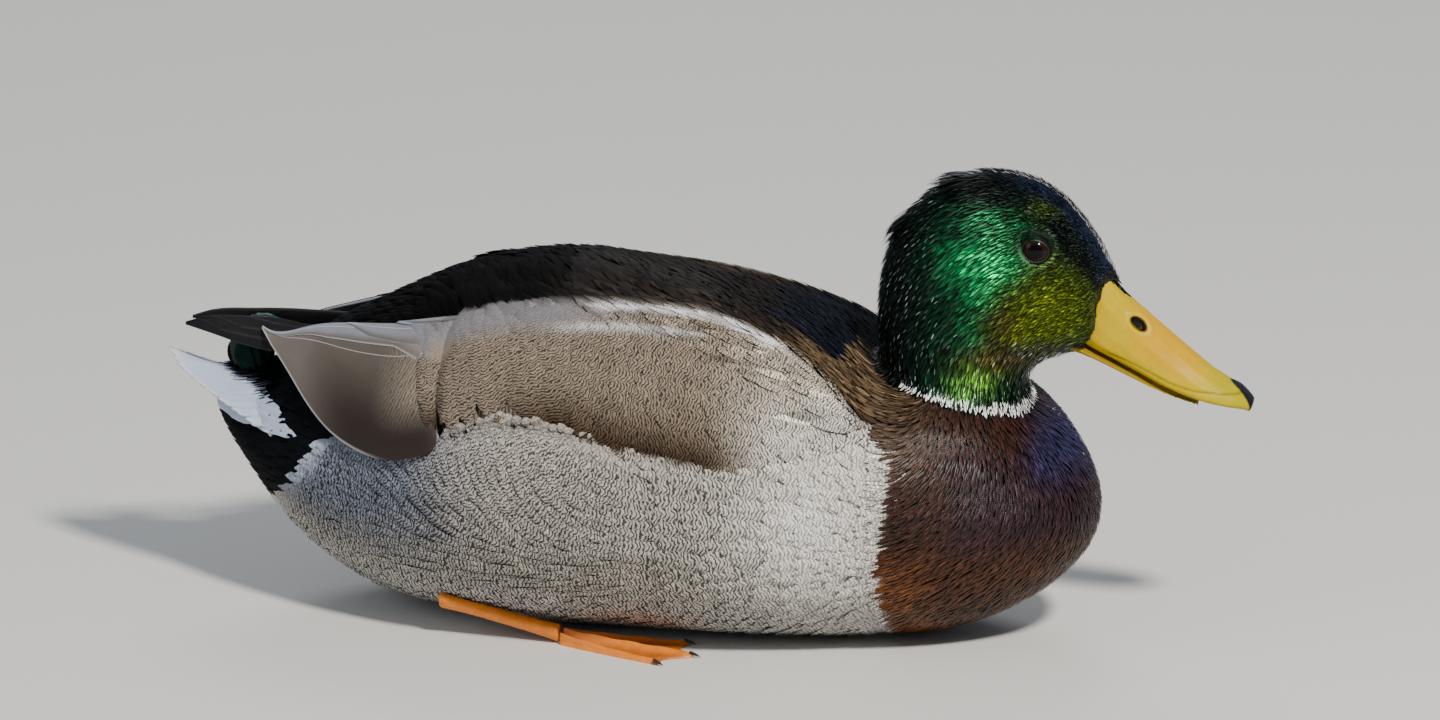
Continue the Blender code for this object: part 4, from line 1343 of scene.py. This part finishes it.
def make_flight_feathers():
    """The folded wings' tips: several slender feathers that lie on one another."""
    material = plumage("flight_vanes", 0.5, barbs=0.3, noise=0.12, specular=0.15, shaft_colour=SHAFT_BLACK)
    for name, side in SIDES:
        sheet = Sheet(f"wing_tip_{name}", (0, -0.97 * side, -0.26), FLIGHT_X, 24)
        rows, columns = sheet.outer.shape[:2]
        step = np.zeros((rows, columns))
        pale = ramp(sheet.share, 0.05, 0.01)[None] * np.ones((rows, 1))
        for start, end in FLIGHT_EDGES:
            edge = start + (0.97 - start) * ramp(np.linspace(0, 1, rows), end - 0.35, end)
            over = sheet.share[None] - edge[:, None]
            step += 0.28 * ramp(over, -0.02, 0.02)
            pale = np.maximum(pale, ramp(np.abs(over - 0.02), 0.035, 0.01))
        points = both_faces(sheet.outer - step[..., None] * sheet.view, sheet.inner)
        pale = np.concatenate([pale, pale[:, ::-1] * 0.3, pale[:, :1]], axis=1)
        ahead = FLIGHT_AHEAD[:, None, None] * np.array([1.0, 0.0, 0.0])
        points = np.concatenate([points[:1] + ahead, points])
        pale = np.concatenate([np.tile(pale[:1], (len(ahead), 1)), pale])
        colour = mix(CHARCOAL, CHARCOAL_EDGE, pale.ravel() * 0.6)
        waves = np.zeros(len(colour))
        group = large_feather(points, *shares(*points.shape[:2]), colour, waves, 0, 1, offset=0.72)
        replaced = (f"wing_tip_{name}",)
        coat_piece(f"flight_feathers_{name}", [group], material, replaced, patch=0.0)


# The tail.

TAIL_ROOT_X = -128.0
TAIL_TIPS = ([0, 8, 15, 21, 28, 32], [-195.5, -189.5, -179, -168, -154, -137])  # along x, by how far out
TAIL_FEATHERS = [(1.5 + 3.05 * level, 4.9 - 0.12 * level) for level in range(10)]  # how far out, half width
# The white side of the tail, where it lies on the rump: its lower edge and how far it reaches above that.
WEDGE_X = [-179, -168, -156, -144, -135]
WEDGE_LOW = [75, 71, 67.5, 66.3, 66]
WEDGE_DEEP = [15, 13, 11, 7, 0.5]


def tail_terms(x, y):
    u, v = (x + 165) / 30, np.abs(y) / 30
    return np.stack([u**0, u, u**2, v, v**2, u * v, u * v**2, u**2 * v], axis=1)


def tail_fit():
    """Heights of the tail's middle layer, as the weights of a smooth surface."""
    x, y = np.meshgrid(np.linspace(-190, -138, 24), np.linspace(-30, 30, 25))
    x, y = x.ravel(), y.ravel()
    kept, heights = [], []
    for index, (at_x, at_y) in enumerate(zip(x, y)):
        above = solids["tail"].hit((at_x, at_y, FAR), (0, 0, -1))
        below = solids["tail"].hit((at_x, at_y, -FAR), (0, 0, 1))
        if above is not None and below is not None:
            kept.append(index)
            heights.append((above.z + below.z) / 2)
    return np.linalg.lstsq(tail_terms(x[kept], y[kept]), np.array(heights), rcond=None)[0]


tail_weights = tail_fit()


def tail_height(x, y):
    return (tail_terms(x.ravel(), y.ravel()) @ tail_weights).reshape(x.shape)


def make_tail():
    """The tail's feathers, the middle ones on top."""
    material = plumage("tail_vanes", 0.55, barbs=0.25, noise=0.05, specular=0.35, shaft_colour=SHAFT_GREY)
    groups = []
    rows, columns = 26, 9
    along, over = np.linspace(0, 1, rows), np.linspace(-1, 1, columns)
    shade = np.concatenate([np.abs(over), np.abs(over)[::-1], [1.0]])[None] * np.ones((rows, 1))
    grey = 0.55 * ramp(shade, 0.75, 1.0) + 0.3 * ramp(shade, 0.16, 0.0)
    # The tail's white is painted bluish, as shade lit by the sky.
    colour = mix(TAIL_SHADED_WHITE, TAIL_GREY, grey.ravel())
    colour = mix(colour, TAIL_TIP, np.repeat(ramp(along, 0.88, 1.0), shade.shape[1]) * 0.7)
    waves = np.zeros(len(colour))
    for level, (out, half) in enumerate(TAIL_FEATHERS):
        for side in (1, -1):
            x = TAIL_ROOT_X + along * (np.interp(out, *TAIL_TIPS) - TAIL_ROOT_X)
            wide = half * (0.75 + 0.25 * along) * np.sqrt(np.clip(1 - along**8, 0.002, 1))
            middle = side * out * (0.62 + 0.38 * along)
            y = middle[:, None] + wide[:, None] * over
            x = x[:, None] + 2.2 * (over**2)[None] * along[:, None] ** 4
            z = tail_height(x, y) + 0.75 - 0.17 * level - 0.25 * (over**2)[None]
            top = np.stack([x, y, z], axis=-1)
            points = both_faces(top, top - np.array([0, 0, 0.28]))
            spots = shares(*points.shape[:2])
            groups.append(large_feather(points, *spots, colour, waves, len(groups), 5, offset=0.24))
    coat_piece("tail_vanes", groups, material, ("tail",), patch=0.0)


def on_wedge(points):
    x = points[:, 0]
    above = points[:, 2] - np.interp(x, WEDGE_X, WEDGE_LOW)
    return (x < -134) & (above > 0) & (above < np.interp(x, WEDGE_X, WEDGE_DEEP)) & (np.abs(points[:, 1]) > 8)


def make_tail_sides():
    material = plumage("tail_side_feathers", 0.55, barbs=0.25, noise=0.05, specular=0.35)
    roots, normals = scattered(on_wedge(centres) & np.isin(regions, (RUMP, UNDERTAIL)), 1.4, seed=85)
    # These white feathers are painted bluish, as shade lit by the sky.
    group = vanes(roots, normals, wedge_lie, 16, 1.6, 0.1, seed=86, rows=6, jitter=0.03, lift=0.04, rise=0.6,
                  blunt=0.3, lightness=0.05, colours=one_colour(TAIL_SHADED_WHITE))
    coat_piece("tail_side_coat", [group], material)


def tail_coverts(up):
    """Slender black coverts over the root of the tail, above it or under it, with ragged tips."""
    rng = np.random.default_rng(92 + up)
    count, rows, columns = 420, 7, 3
    y = rng.uniform(-31, 31, count)
    tip_x = -172 + np.maximum(np.abs(y) - 2.5, 0) * 34 / 26 + rng.normal(0, 2.2, count)
    tip_x = tip_x + (0 if up > 0 else 14) + rng.uniform(0, 1, count) ** 2 * 16
    length = rng.uniform(13, 22, count)
    root_x = np.minimum(tip_x + length, -126)
    root_y = y * 0.86
    along, over = np.linspace(0, 1, rows), np.linspace(-1, 1, columns)
    x = root_x[:, None] - length[:, None] * along
    middle = root_y[:, None] + (y - root_y)[:, None] * along + rng.normal(0, 0.9, count)[:, None] * along
    wide = 1.1 * vane_outline(along, 0.25)
    lift = up * (1.35 + 0.5 * rng.random(count)[:, None] + 0.3 * along)
    grid = np.empty((count, rows, columns, 3))
    grid[..., 0] = x[:, :, None]
    grid[..., 1] = middle[:, :, None] + wide[None, :, None] * over
    grid[..., 2] = (tail_height(x, middle) + lift)[:, :, None] - up * 0.3 * over**2
    return loose_group(grid, COVERT_BLACK, 0.3, rng)


def curl_plumes():
    """Glossy feathers that stand between the tail and the wings' tips, round the curls."""
    rng = np.random.default_rng(95)
    count, rows, columns = 44, 8, 3
    side = np.where(np.arange(count) % 2, 1.0, -1.0)
    root_x, out = rng.uniform(-168, -155, count), rng.uniform(1.5, 5.0, count)
    root_z = tail_height(root_x, out) + 1.6
    along, over = np.linspace(0, 1, rows), np.linspace(-1, 1, columns)
    top = rng.uniform(90.0, 92.5, count)
    wide = 1.5 * vane_outline(along, 0.4)
    lean = 2.5 * np.sin(along * np.pi / 2) + rng.normal(0, 0.7, count)[:, None] * along
    grid = np.empty((count, rows, columns, 3))
    grid[..., 0] = root_x[:, None, None] - lean[..., None] + wide[:, None] * over
    grid[..., 1] = (side * out)[:, None, None] + (side[:, None] * 0.9 * np.sin(along * np.pi))[..., None]
    grid[..., 2] = (root_z[:, None] + (top - root_z)[:, None] * along)[..., None] + 0.5 * wide[:, None] * over
    return loose_group(grid, PLUME_GREEN, 0.35, rng)


def detail_piece(name, material, voxel, smooth_steps, shape, paint):
    """A finer copy of a CAD node, with its shape and paint worked over, in the node's place."""
    points, faces = remeshed(*node_arrays(name), voxel=voxel, smooth_steps=smooth_steps)
    normals = point_normals(points, faces)
    points = points + shape(points)[:, None] * normals
    mesh = make_mesh(f"{name}_detail", points, faces)
    set_point_values(mesh, "tint", paint(points))
    middle = points.mean(axis=0)
    spot = (points - middle) / (2.05 * np.abs(points - middle).max())
    uv = np.stack([0.25 + 0.5 * (normals[:, 2] > 0) + 0.48 * spot[:, 1], 0.5 + 0.98 * spot[:, 0]], axis=1)
    set_uv(mesh, "OFBake", uv)
    add_piece(f"{name}_detail", mesh, material, (name,))


def curl_shape(points):
    return 0.55 + 0.12 * np.sin(points[:, 2] * 2 * np.pi / 1.1 + points[:, 0])


def curl_paint(points):
    # The curls' own black-green, painted brighter green toward their tops as a sheen.
    return mix(CURL_BLACK, CURL_PAINTED_SHEEN, ramp(points[:, 2], 82, 94))


def make_curls():
    look = grained("curl_gloss", 0.42, 500, specular=0.3, stretch=(1, 1, 3))
    for name, _ in SIDES:
        detail_piece(f"tail_curl_{name}", look, 0.45, 2, curl_shape, curl_paint)


# The bill.

BILL_YELLOW = (0.50, 0.345, 0.0)
BILL_ORANGE = (0.53, 0.29, 0.0)
BILL_GREEN = (0.42, 0.34, 0.001)
BILL_GROOVE = (0.10, 0.065, 0.004)
NOSTRIL_RIM = (0.62, 0.46, 0.03)
NOSTRIL_PAINTED_SHADE = (0.006, 0.004, 0.003)
LOWER_YELLOW = (0.36, 0.22, 0.002)
LOWER_BROWN = (0.09, 0.055, 0.01)
NAIL_BLACK = (0.010, 0.010, 0.013)
NOSTRIL = (70.2, 118.7)  # ahead and up, in the head's frame
NOSTRIL_HALF = (3.8, 1.9)
BILL_SLOPE = math.radians(-41)
# The upper bill's lower edge.
EDGE_X, EDGE_Z = [48, 52, 66.6, 81, 89.5, 104.7], [115, 107, 100.8, 93.7, 91, 89.5]
GROOVE_UP = 4.4  # the groove's height above that edge


def nostril_share(place):
    """How far points are from a nostril's middle, 1 on its rim."""
    ahead, up = place[:, 0] - NOSTRIL[0], place[:, 2] - NOSTRIL[1]
    along = ahead * math.cos(BILL_SLOPE) + up * math.sin(BILL_SLOPE)
    across = up * math.cos(BILL_SLOPE) - ahead * math.sin(BILL_SLOPE)
    return np.sqrt((along / NOSTRIL_HALF[0]) ** 2 + (across / NOSTRIL_HALF[1]) ** 2)


def nail_share(place):
    """1 on the nail at the bill's tip."""
    return ramp(place[:, 0] - 0.11 * place[:, 1] ** 2 - 0.42 * (97.9 - place[:, 2]), 102.0, 102.7)


def above_edge(place):
    return place[:, 2] - np.interp(place[:, 0], EDGE_X, EDGE_Z)


def upper_shape(points):
    """Nostrils with a raised rim, a groove along the edge, and a nail."""
    place = head_place(points)
    share = nostril_share(place)
    push = -1.5 * ramp(share, 1.0, 0.55) + 0.4 * bell(share - 1.35, 0.28)
    groove = 0.35 * bell(above_edge(place) - GROOVE_UP, 0.5) * ramp(place[:, 0], 56, 62)
    return push - groove * ramp(place[:, 0], 103, 97) + 0.3 * nail_share(place)


def lower_shape(points):
    """The lower bill thins toward its tip, but stays shut against the upper one."""
    place = head_place(points)
    shut = (np.abs(place[:, 1]) < 6.5) & (solids["bill_upper"].distance(points) < 1.0)
    return np.where(shut, 0.9, -0.4 * ramp(place[:, 0], 66, 84))


def upper_paint(points):
    place = head_place(points)
    ahead, above, share = place[:, 0], above_edge(place), nostril_share(place)
    colour = mix(BILL_YELLOW, BILL_ORANGE, ramp(ahead, 62, 76) * ramp(ahead, 100, 88) * ramp(above, 5, 12))
    colour = mix(colour, BILL_GREEN, np.maximum(ramp(ahead, 88, 103), 0.7 * ramp(above, 4, 1)))
    colour = mix(colour, BILL_GROOVE, 0.55 * bell(above - GROOVE_UP, 0.45) * ramp(ahead, 56, 62))
    colour = mix(colour, NOSTRIL_RIM, bell(share - 1.35, 0.2) * 0.5)
    # Painted shade in the nostril's hollow.
    colour = mix(colour, NOSTRIL_PAINTED_SHADE, ramp(share, 1.1, 0.85))
    return mix(colour, NAIL_BLACK, nail_share(place))


def lower_paint(points):
    place = head_place(points)
    colour = mix(LOWER_YELLOW, LOWER_BROWN, ramp(np.abs(place[:, 1]), 4, 9) * 0.3)
    return mix(colour, NAIL_BLACK, nail_share(place))


def make_bill():
    look = grained("bill_horn", 0.40, 700, tone=0.08, strength=0.2, specular=0.12)
    detail_piece("bill_upper", look, 0.5, 3, upper_shape, upper_paint)
    detail_piece("bill_lower", look, 0.5, 3, lower_shape, lower_paint)


# The eyes.

LID_OPENING = (4.65, 3.7)
LID_TILT = math.radians(-14)
LID_BLACK = (0.0045, 0.0050, 0.0030)
LID_LOWEST = math.sqrt(EYE_RADIUS**2 - 5.4**2)  # above the eye's centre
LID_POINTS = 73  # round each ring
# How far out each ring of a lid is, and how far it is raised.
LID_RINGS = ((0.0, -0.1), (0.0, 0.22), (0.25, 0.42), (0.55, 0.40), (0.85, 0.2), (1.25, -0.3))
DOWN_RINGS = ((0.5, 64), (1.0, 70), (1.6, 78), (2.3, 84), (3.0, 92))  # out, and how many feathers
DOWN_LOWEST, DOWN_RAISED, DOWN_LENGTH = 2.0, 0.3, 1.9
PUPIL_RADIUS = 2.8
PUPIL_BLACK = (0.0015, 0.0015, 0.0015, 1)
IRIS_DARK, IRIS_PALE = (0.006, 0.0028, 0.0018, 1), (0.020, 0.009, 0.005, 1)


def eye_point(side, further=0.0):
    """An eye's centre, or a point further out from the head."""
    return from_head(np.array([[EYE[0], (EYE[1] + further) * side, EYE[2]]]))[0]


def eye_ring(side, grow, turns, lowest, raised):
    """Points round an eye's opening widened by grow, raised above the eyeball or above a lowest height."""
    ahead = head_vector(math.cos(LID_TILT), 0.0, math.sin(LID_TILT))
    up = head_vector(-math.sin(LID_TILT), 0.0, math.cos(LID_TILT))
    along, over = (LID_OPENING[0] + grow) * np.cos(turns), (LID_OPENING[1] + grow) * np.sin(turns)
    height = np.sqrt(np.maximum(EYE_RADIUS**2 - along**2 - over**2, lowest**2)) + raised
    out = head_vector(0.0, side, 0.0)
    return eye_point(side) + along[:, None] * ahead + over[:, None] * up + height[:, None] * out


def lid_grids():
    """Each eye's lid as rings of points, the last of them sunk under the coat."""
    turns = np.linspace(0, 2 * np.pi, LID_POINTS)
    grids = []
    for _, side in SIDES:
        grid = np.array([eye_ring(side, grow, turns, LID_LOWEST, raised) for grow, raised in LID_RINGS])
        last, normal, _ = outer.nearest(grid[-1])
        grid[-1] = last - 0.9 * normal
        grids.append(grid)
    return np.array(grids)


def make_lid_coat(surface):
    """Tiny feathers in rings round the lids."""
    down = plumage("lid_feathers", 0.4, metallic=0.8, barbs=0.06, noise=0.3, specular=0.3, barb_dark=0.03)
    roots, outward, length = [], [], []
    for _, side in SIDES:
        for grow, count in DOWN_RINGS:
            around = np.linspace(0, 2 * np.pi, count, endpoint=False) + grow
            roots.append(eye_ring(side, grow, around, DOWN_LOWEST, DOWN_RAISED))
            outward.append(np.tile(head_vector(0.0, side, 0.0), (count, 1)))
            before = np.cos(around) > 0.2
            length.append(np.where(before, np.minimum(DOWN_LENGTH, grow * 0.9), DOWN_LENGTH))
    roots, _, _ = surface.nearest(np.concatenate(roots))
    group = vanes(roots, np.concatenate(outward), head_lie, np.concatenate(length), 0.27, -0.05, seed=36,
                  rows=4, blunt=0.3, jitter=0.25, lift=0.1, colours=head_only, lightness=0.5, root_shade=0.4,
                  surface=surface)
    coat_piece("lid_coat", [group], down)


def make_eyes():
    """Lids with an oval opening over each eyeball, ringed with tiny feathers."""
    grids = lid_grids()
    faces = grid_faces(*grids.shape[:3])
    mesh = make_mesh("lids", grids.reshape(-1, 3), faces)
    set_point_values(mesh, "tint", np.ones((len(mesh.vertices), 3)) * LID_BLACK)
    rings = np.linspace(0.02, 0.98, grids.shape[0] * grids.shape[1])
    set_uv(mesh, "OFBake", grid_places(rings, np.linspace(0.02, 0.98, LID_POINTS)))
    add_piece("lids", mesh, grained("lid_skin", 0.5, 1500, tone=0.3))
    make_lid_coat(Surface(*join_arrays([
        (outer.points, triangles_of(outer.faces)), (grids.reshape(-1, 3), triangles_of(faces)),
    ])))
    for name, side in SIDES:
        make_eyeball(name, side)


def make_eyeball(name, side):
    """A ball with a dark brown iris round a black pupil, under a clear gloss."""
    nodes = Nodes(f"eye_gloss_{name}")
    place = nodes.object_place()
    values = {0: place, 1: tuple(eye_point(side, EYE_RADIUS) * MM)}
    away = nodes.add("ShaderNodeVectorMath", values, operation="DISTANCE").outputs["Value"]
    share = nodes.ranged(away, (PUPIL_RADIUS - 0.2) * MM, (PUPIL_RADIUS + 0.2) * MM)
    brown = nodes.mixed(nodes.noise(place, 1800.0, 2.0), IRIS_DARK, IRIS_PALE)
    nodes.set(Base_Color=nodes.mixed(share, PUPIL_BLACK, brown), Roughness=0.08, Specular_IOR_Level=0.14)
    around, over = np.meshgrid(np.linspace(0, 2 * np.pi, 65), np.linspace(0, np.pi, 33), indexing="ij")
    ball = np.stack([np.cos(around) * np.sin(over), np.cos(over), np.sin(around) * np.sin(over)], axis=-1)
    faces = grid_faces(1, *around.shape)[:, ::-1]
    mesh = make_mesh(f"eyeball_{name}", eye_point(side) + EYE_RADIUS * ball.reshape(-1, 3), faces)
    spots = np.stack([around.ravel() / (2 * np.pi), over.ravel() / np.pi], axis=1)
    set_uv(mesh, "OFBake", spots * 0.96 + 0.02)
    add_piece(f"eyeball_{name}", mesh, nodes.material, (f"eye_{name}",))


# The legs and the feet.

FOOT_X, FOOT_Y, FOOT_SPLAY, TOE_LENGTH = -34.0, 49.0, math.radians(9.0), 50.0
FOOT_ROWS, FOOT_COLUMNS = 90, 81
TOE_COLUMNS = (0, 40, 80)
CLAW_LENGTH, CLAW_RINGS, CLAW_SIDES = 4.2, 9, 13
TOE_ORANGE = (0.72, 0.20, 0.010)
WEB_ORANGE = (0.46, 0.115, 0.010)
CLAW_BROWN = (0.020, 0.013, 0.009)


def foot_grid(side):
    """A webbed foot lying flat, with knuckles on its three toes and creases across its webs."""
    along, over = np.meshgrid(np.linspace(0, 1, FOOT_ROWS), np.linspace(-1, 1, FOOT_COLUMNS), indexing="ij")
    toe = np.cos(over * 2 * np.pi) * 0.5 + 0.5
    length = TOE_LENGTH * (1 - 0.16 * np.abs(over) ** 1.5 - 0.10 * (1 - toe))
    ahead, out = along * length, over * (3.4 + 11.0 * along**0.85)
    x = FOOT_X + ahead * math.cos(FOOT_SPLAY) - out * math.sin(FOOT_SPLAY)
    y = FOOT_Y + ahead * math.sin(FOOT_SPLAY) + out * math.cos(FOOT_SPLAY)
    knuckles = 0.35 * toe**6 * (0.5 + 0.5 * np.cos(ahead * 2 * np.pi / 13.0))
    scutes = 0.10 * toe**3 * np.abs(np.sin(ahead * np.pi / 1.5))
    creases = 0.06 * (1 - toe) * np.sin(ahead * 2 * np.pi / 1.9 + 3 * over)
    thick = 0.9 + (3.2 - 2.3 * along) * toe**3 + 1.0 * (1 - along) ** 3 + knuckles + scutes + creases
    edge = np.minimum(1, np.minimum(1 - np.abs(over), (1 - along) * 2) * 12)
    top = np.stack([x, y * side, 0.25 + (thick - 0.25) * (0.4 + 0.6 * edge)], axis=-1)
    under = np.stack([x, y * side, np.full(x.shape, 0.05) + 0.15 * (1 - toe)], axis=-1)
    return top, under, toe


def claw(tip, heading):
    """A small curved claw."""
    turns = np.linspace(0, 2 * np.pi, CLAW_SIDES)
    across = np.array([-heading[1], heading[0], 0])
    rings = []
    for share in np.linspace(0, 1, CLAW_RINGS):
        middle = tip + heading * (CLAW_LENGTH * share - 1.0) + np.array([0, 0, 0.5 - 1.0 * share**2])
        radius = 0.85 * (1 - share) ** 0.7 + 0.04
        round_it = np.cos(turns)[:, None] * across * 0.8 + np.sin(turns)[:, None] * [0, 0, 1.0]
        rings.append(middle + radius * round_it)
    grid = np.array(rings)
    grid[..., 2] = np.maximum(grid[..., 2], 0.05)
    return grid


def leg_shape(points):
    return 0.12 * np.abs(np.sin(points[:, 0] * np.pi / 1.7)) - 0.05


def leg_paint(points):
    return np.ones((len(points), 3)) * TOE_ORANGE


def grid_rim(rows, columns):
    """The points round a grid's edge, in turn."""
    start, across = np.arange(rows) * columns, np.arange(columns)
    return np.concatenate([across, start[1:] + across[-1], start[-1] + across[:-1][::-1], start[:-1][::-1]])


def make_foot(name, side, look):
    """One foot and its leg. Gives the foot's upper face as a grid."""
    top, under, toe = foot_grid(side)
    rim = grid_rim(FOOT_ROWS, FOOT_COLUMNS)
    below = rim + FOOT_ROWS * FOOT_COLUMNS
    edge = np.stack([rim[:-1], rim[1:], below[1:], below[:-1]], axis=1)
    faces = grid_faces(1, FOOT_ROWS, FOOT_COLUMNS)
    points, faces = join_arrays([(grid.reshape(-1, 3), faces) for grid in (top, under)])
    mesh = make_mesh(f"foot_{name}_detail", points, np.concatenate([faces, edge]))
    set_point_values(mesh, "tint", mix(WEB_ORANGE, TOE_ORANGE, np.tile((toe**2).ravel(), 2)))
    spots = np.stack(shares(FOOT_ROWS, FOOT_COLUMNS), axis=-1).reshape(-1, 2) * [0.46, 0.96]
    set_uv(mesh, "OFBake", np.concatenate([spots + [0.02, 0.02], spots + [0.52, 0.02]]))
    add_piece(f"foot_{name}_detail", mesh, look, (f"foot_{name}",))
    detail_piece(f"leg_{name}", look, 0.6, 2, leg_shape, leg_paint)
    return top


def make_claws(grids):
    horn = grained("claw_horn", 0.3, 900, tone=0.3)
    mesh = make_mesh("claws", grids.reshape(-1, 3), grid_faces(*grids.shape[:3]))
    set_point_values(mesh, "tint", np.ones((len(mesh.vertices), 3)) * CLAW_BROWN)
    places = grid_places(np.linspace(0.05, 0.95, CLAW_RINGS), np.linspace(0.05, 0.95, CLAW_SIDES))
    squares = [(places + [index % 3, index // 3]) / 3 for index in range(len(grids))]
    set_uv(mesh, "OFBake", np.concatenate(squares))
    add_piece("claws", mesh, horn)


def make_feet():
    look = grained("foot_skin", 0.45, 1400, tone=0.22, depth=0.0003, strength=0.6)
    claws = []
    for name, side in SIDES:
        top = make_foot(name, side, look)
        for column in TOE_COLUMNS:
            tip, before = top[-1, column], top[-12, column]
            claws.append(claw(np.array([tip[0], tip[1], 1.0]), unit((tip - before) * [1, 1, 0])))
    make_claws(np.array(claws))


make_stage()
make_camera()
make_skin()
make_head_coat()
make_collar()
silver = plumage("flank_feathers", 0.66, barbs=0.3, noise=0.08, specular=0.06)
make_breast_coat()
make_flank_coat(silver)
make_belly_coat(silver)
make_wing_coat(silver)
make_mantle_coat()
make_rump_coat()
make_tertials()
make_flight_feathers()
make_tail()
make_tail_sides()
make_curls()
make_bill()
make_eyes()
make_feet()
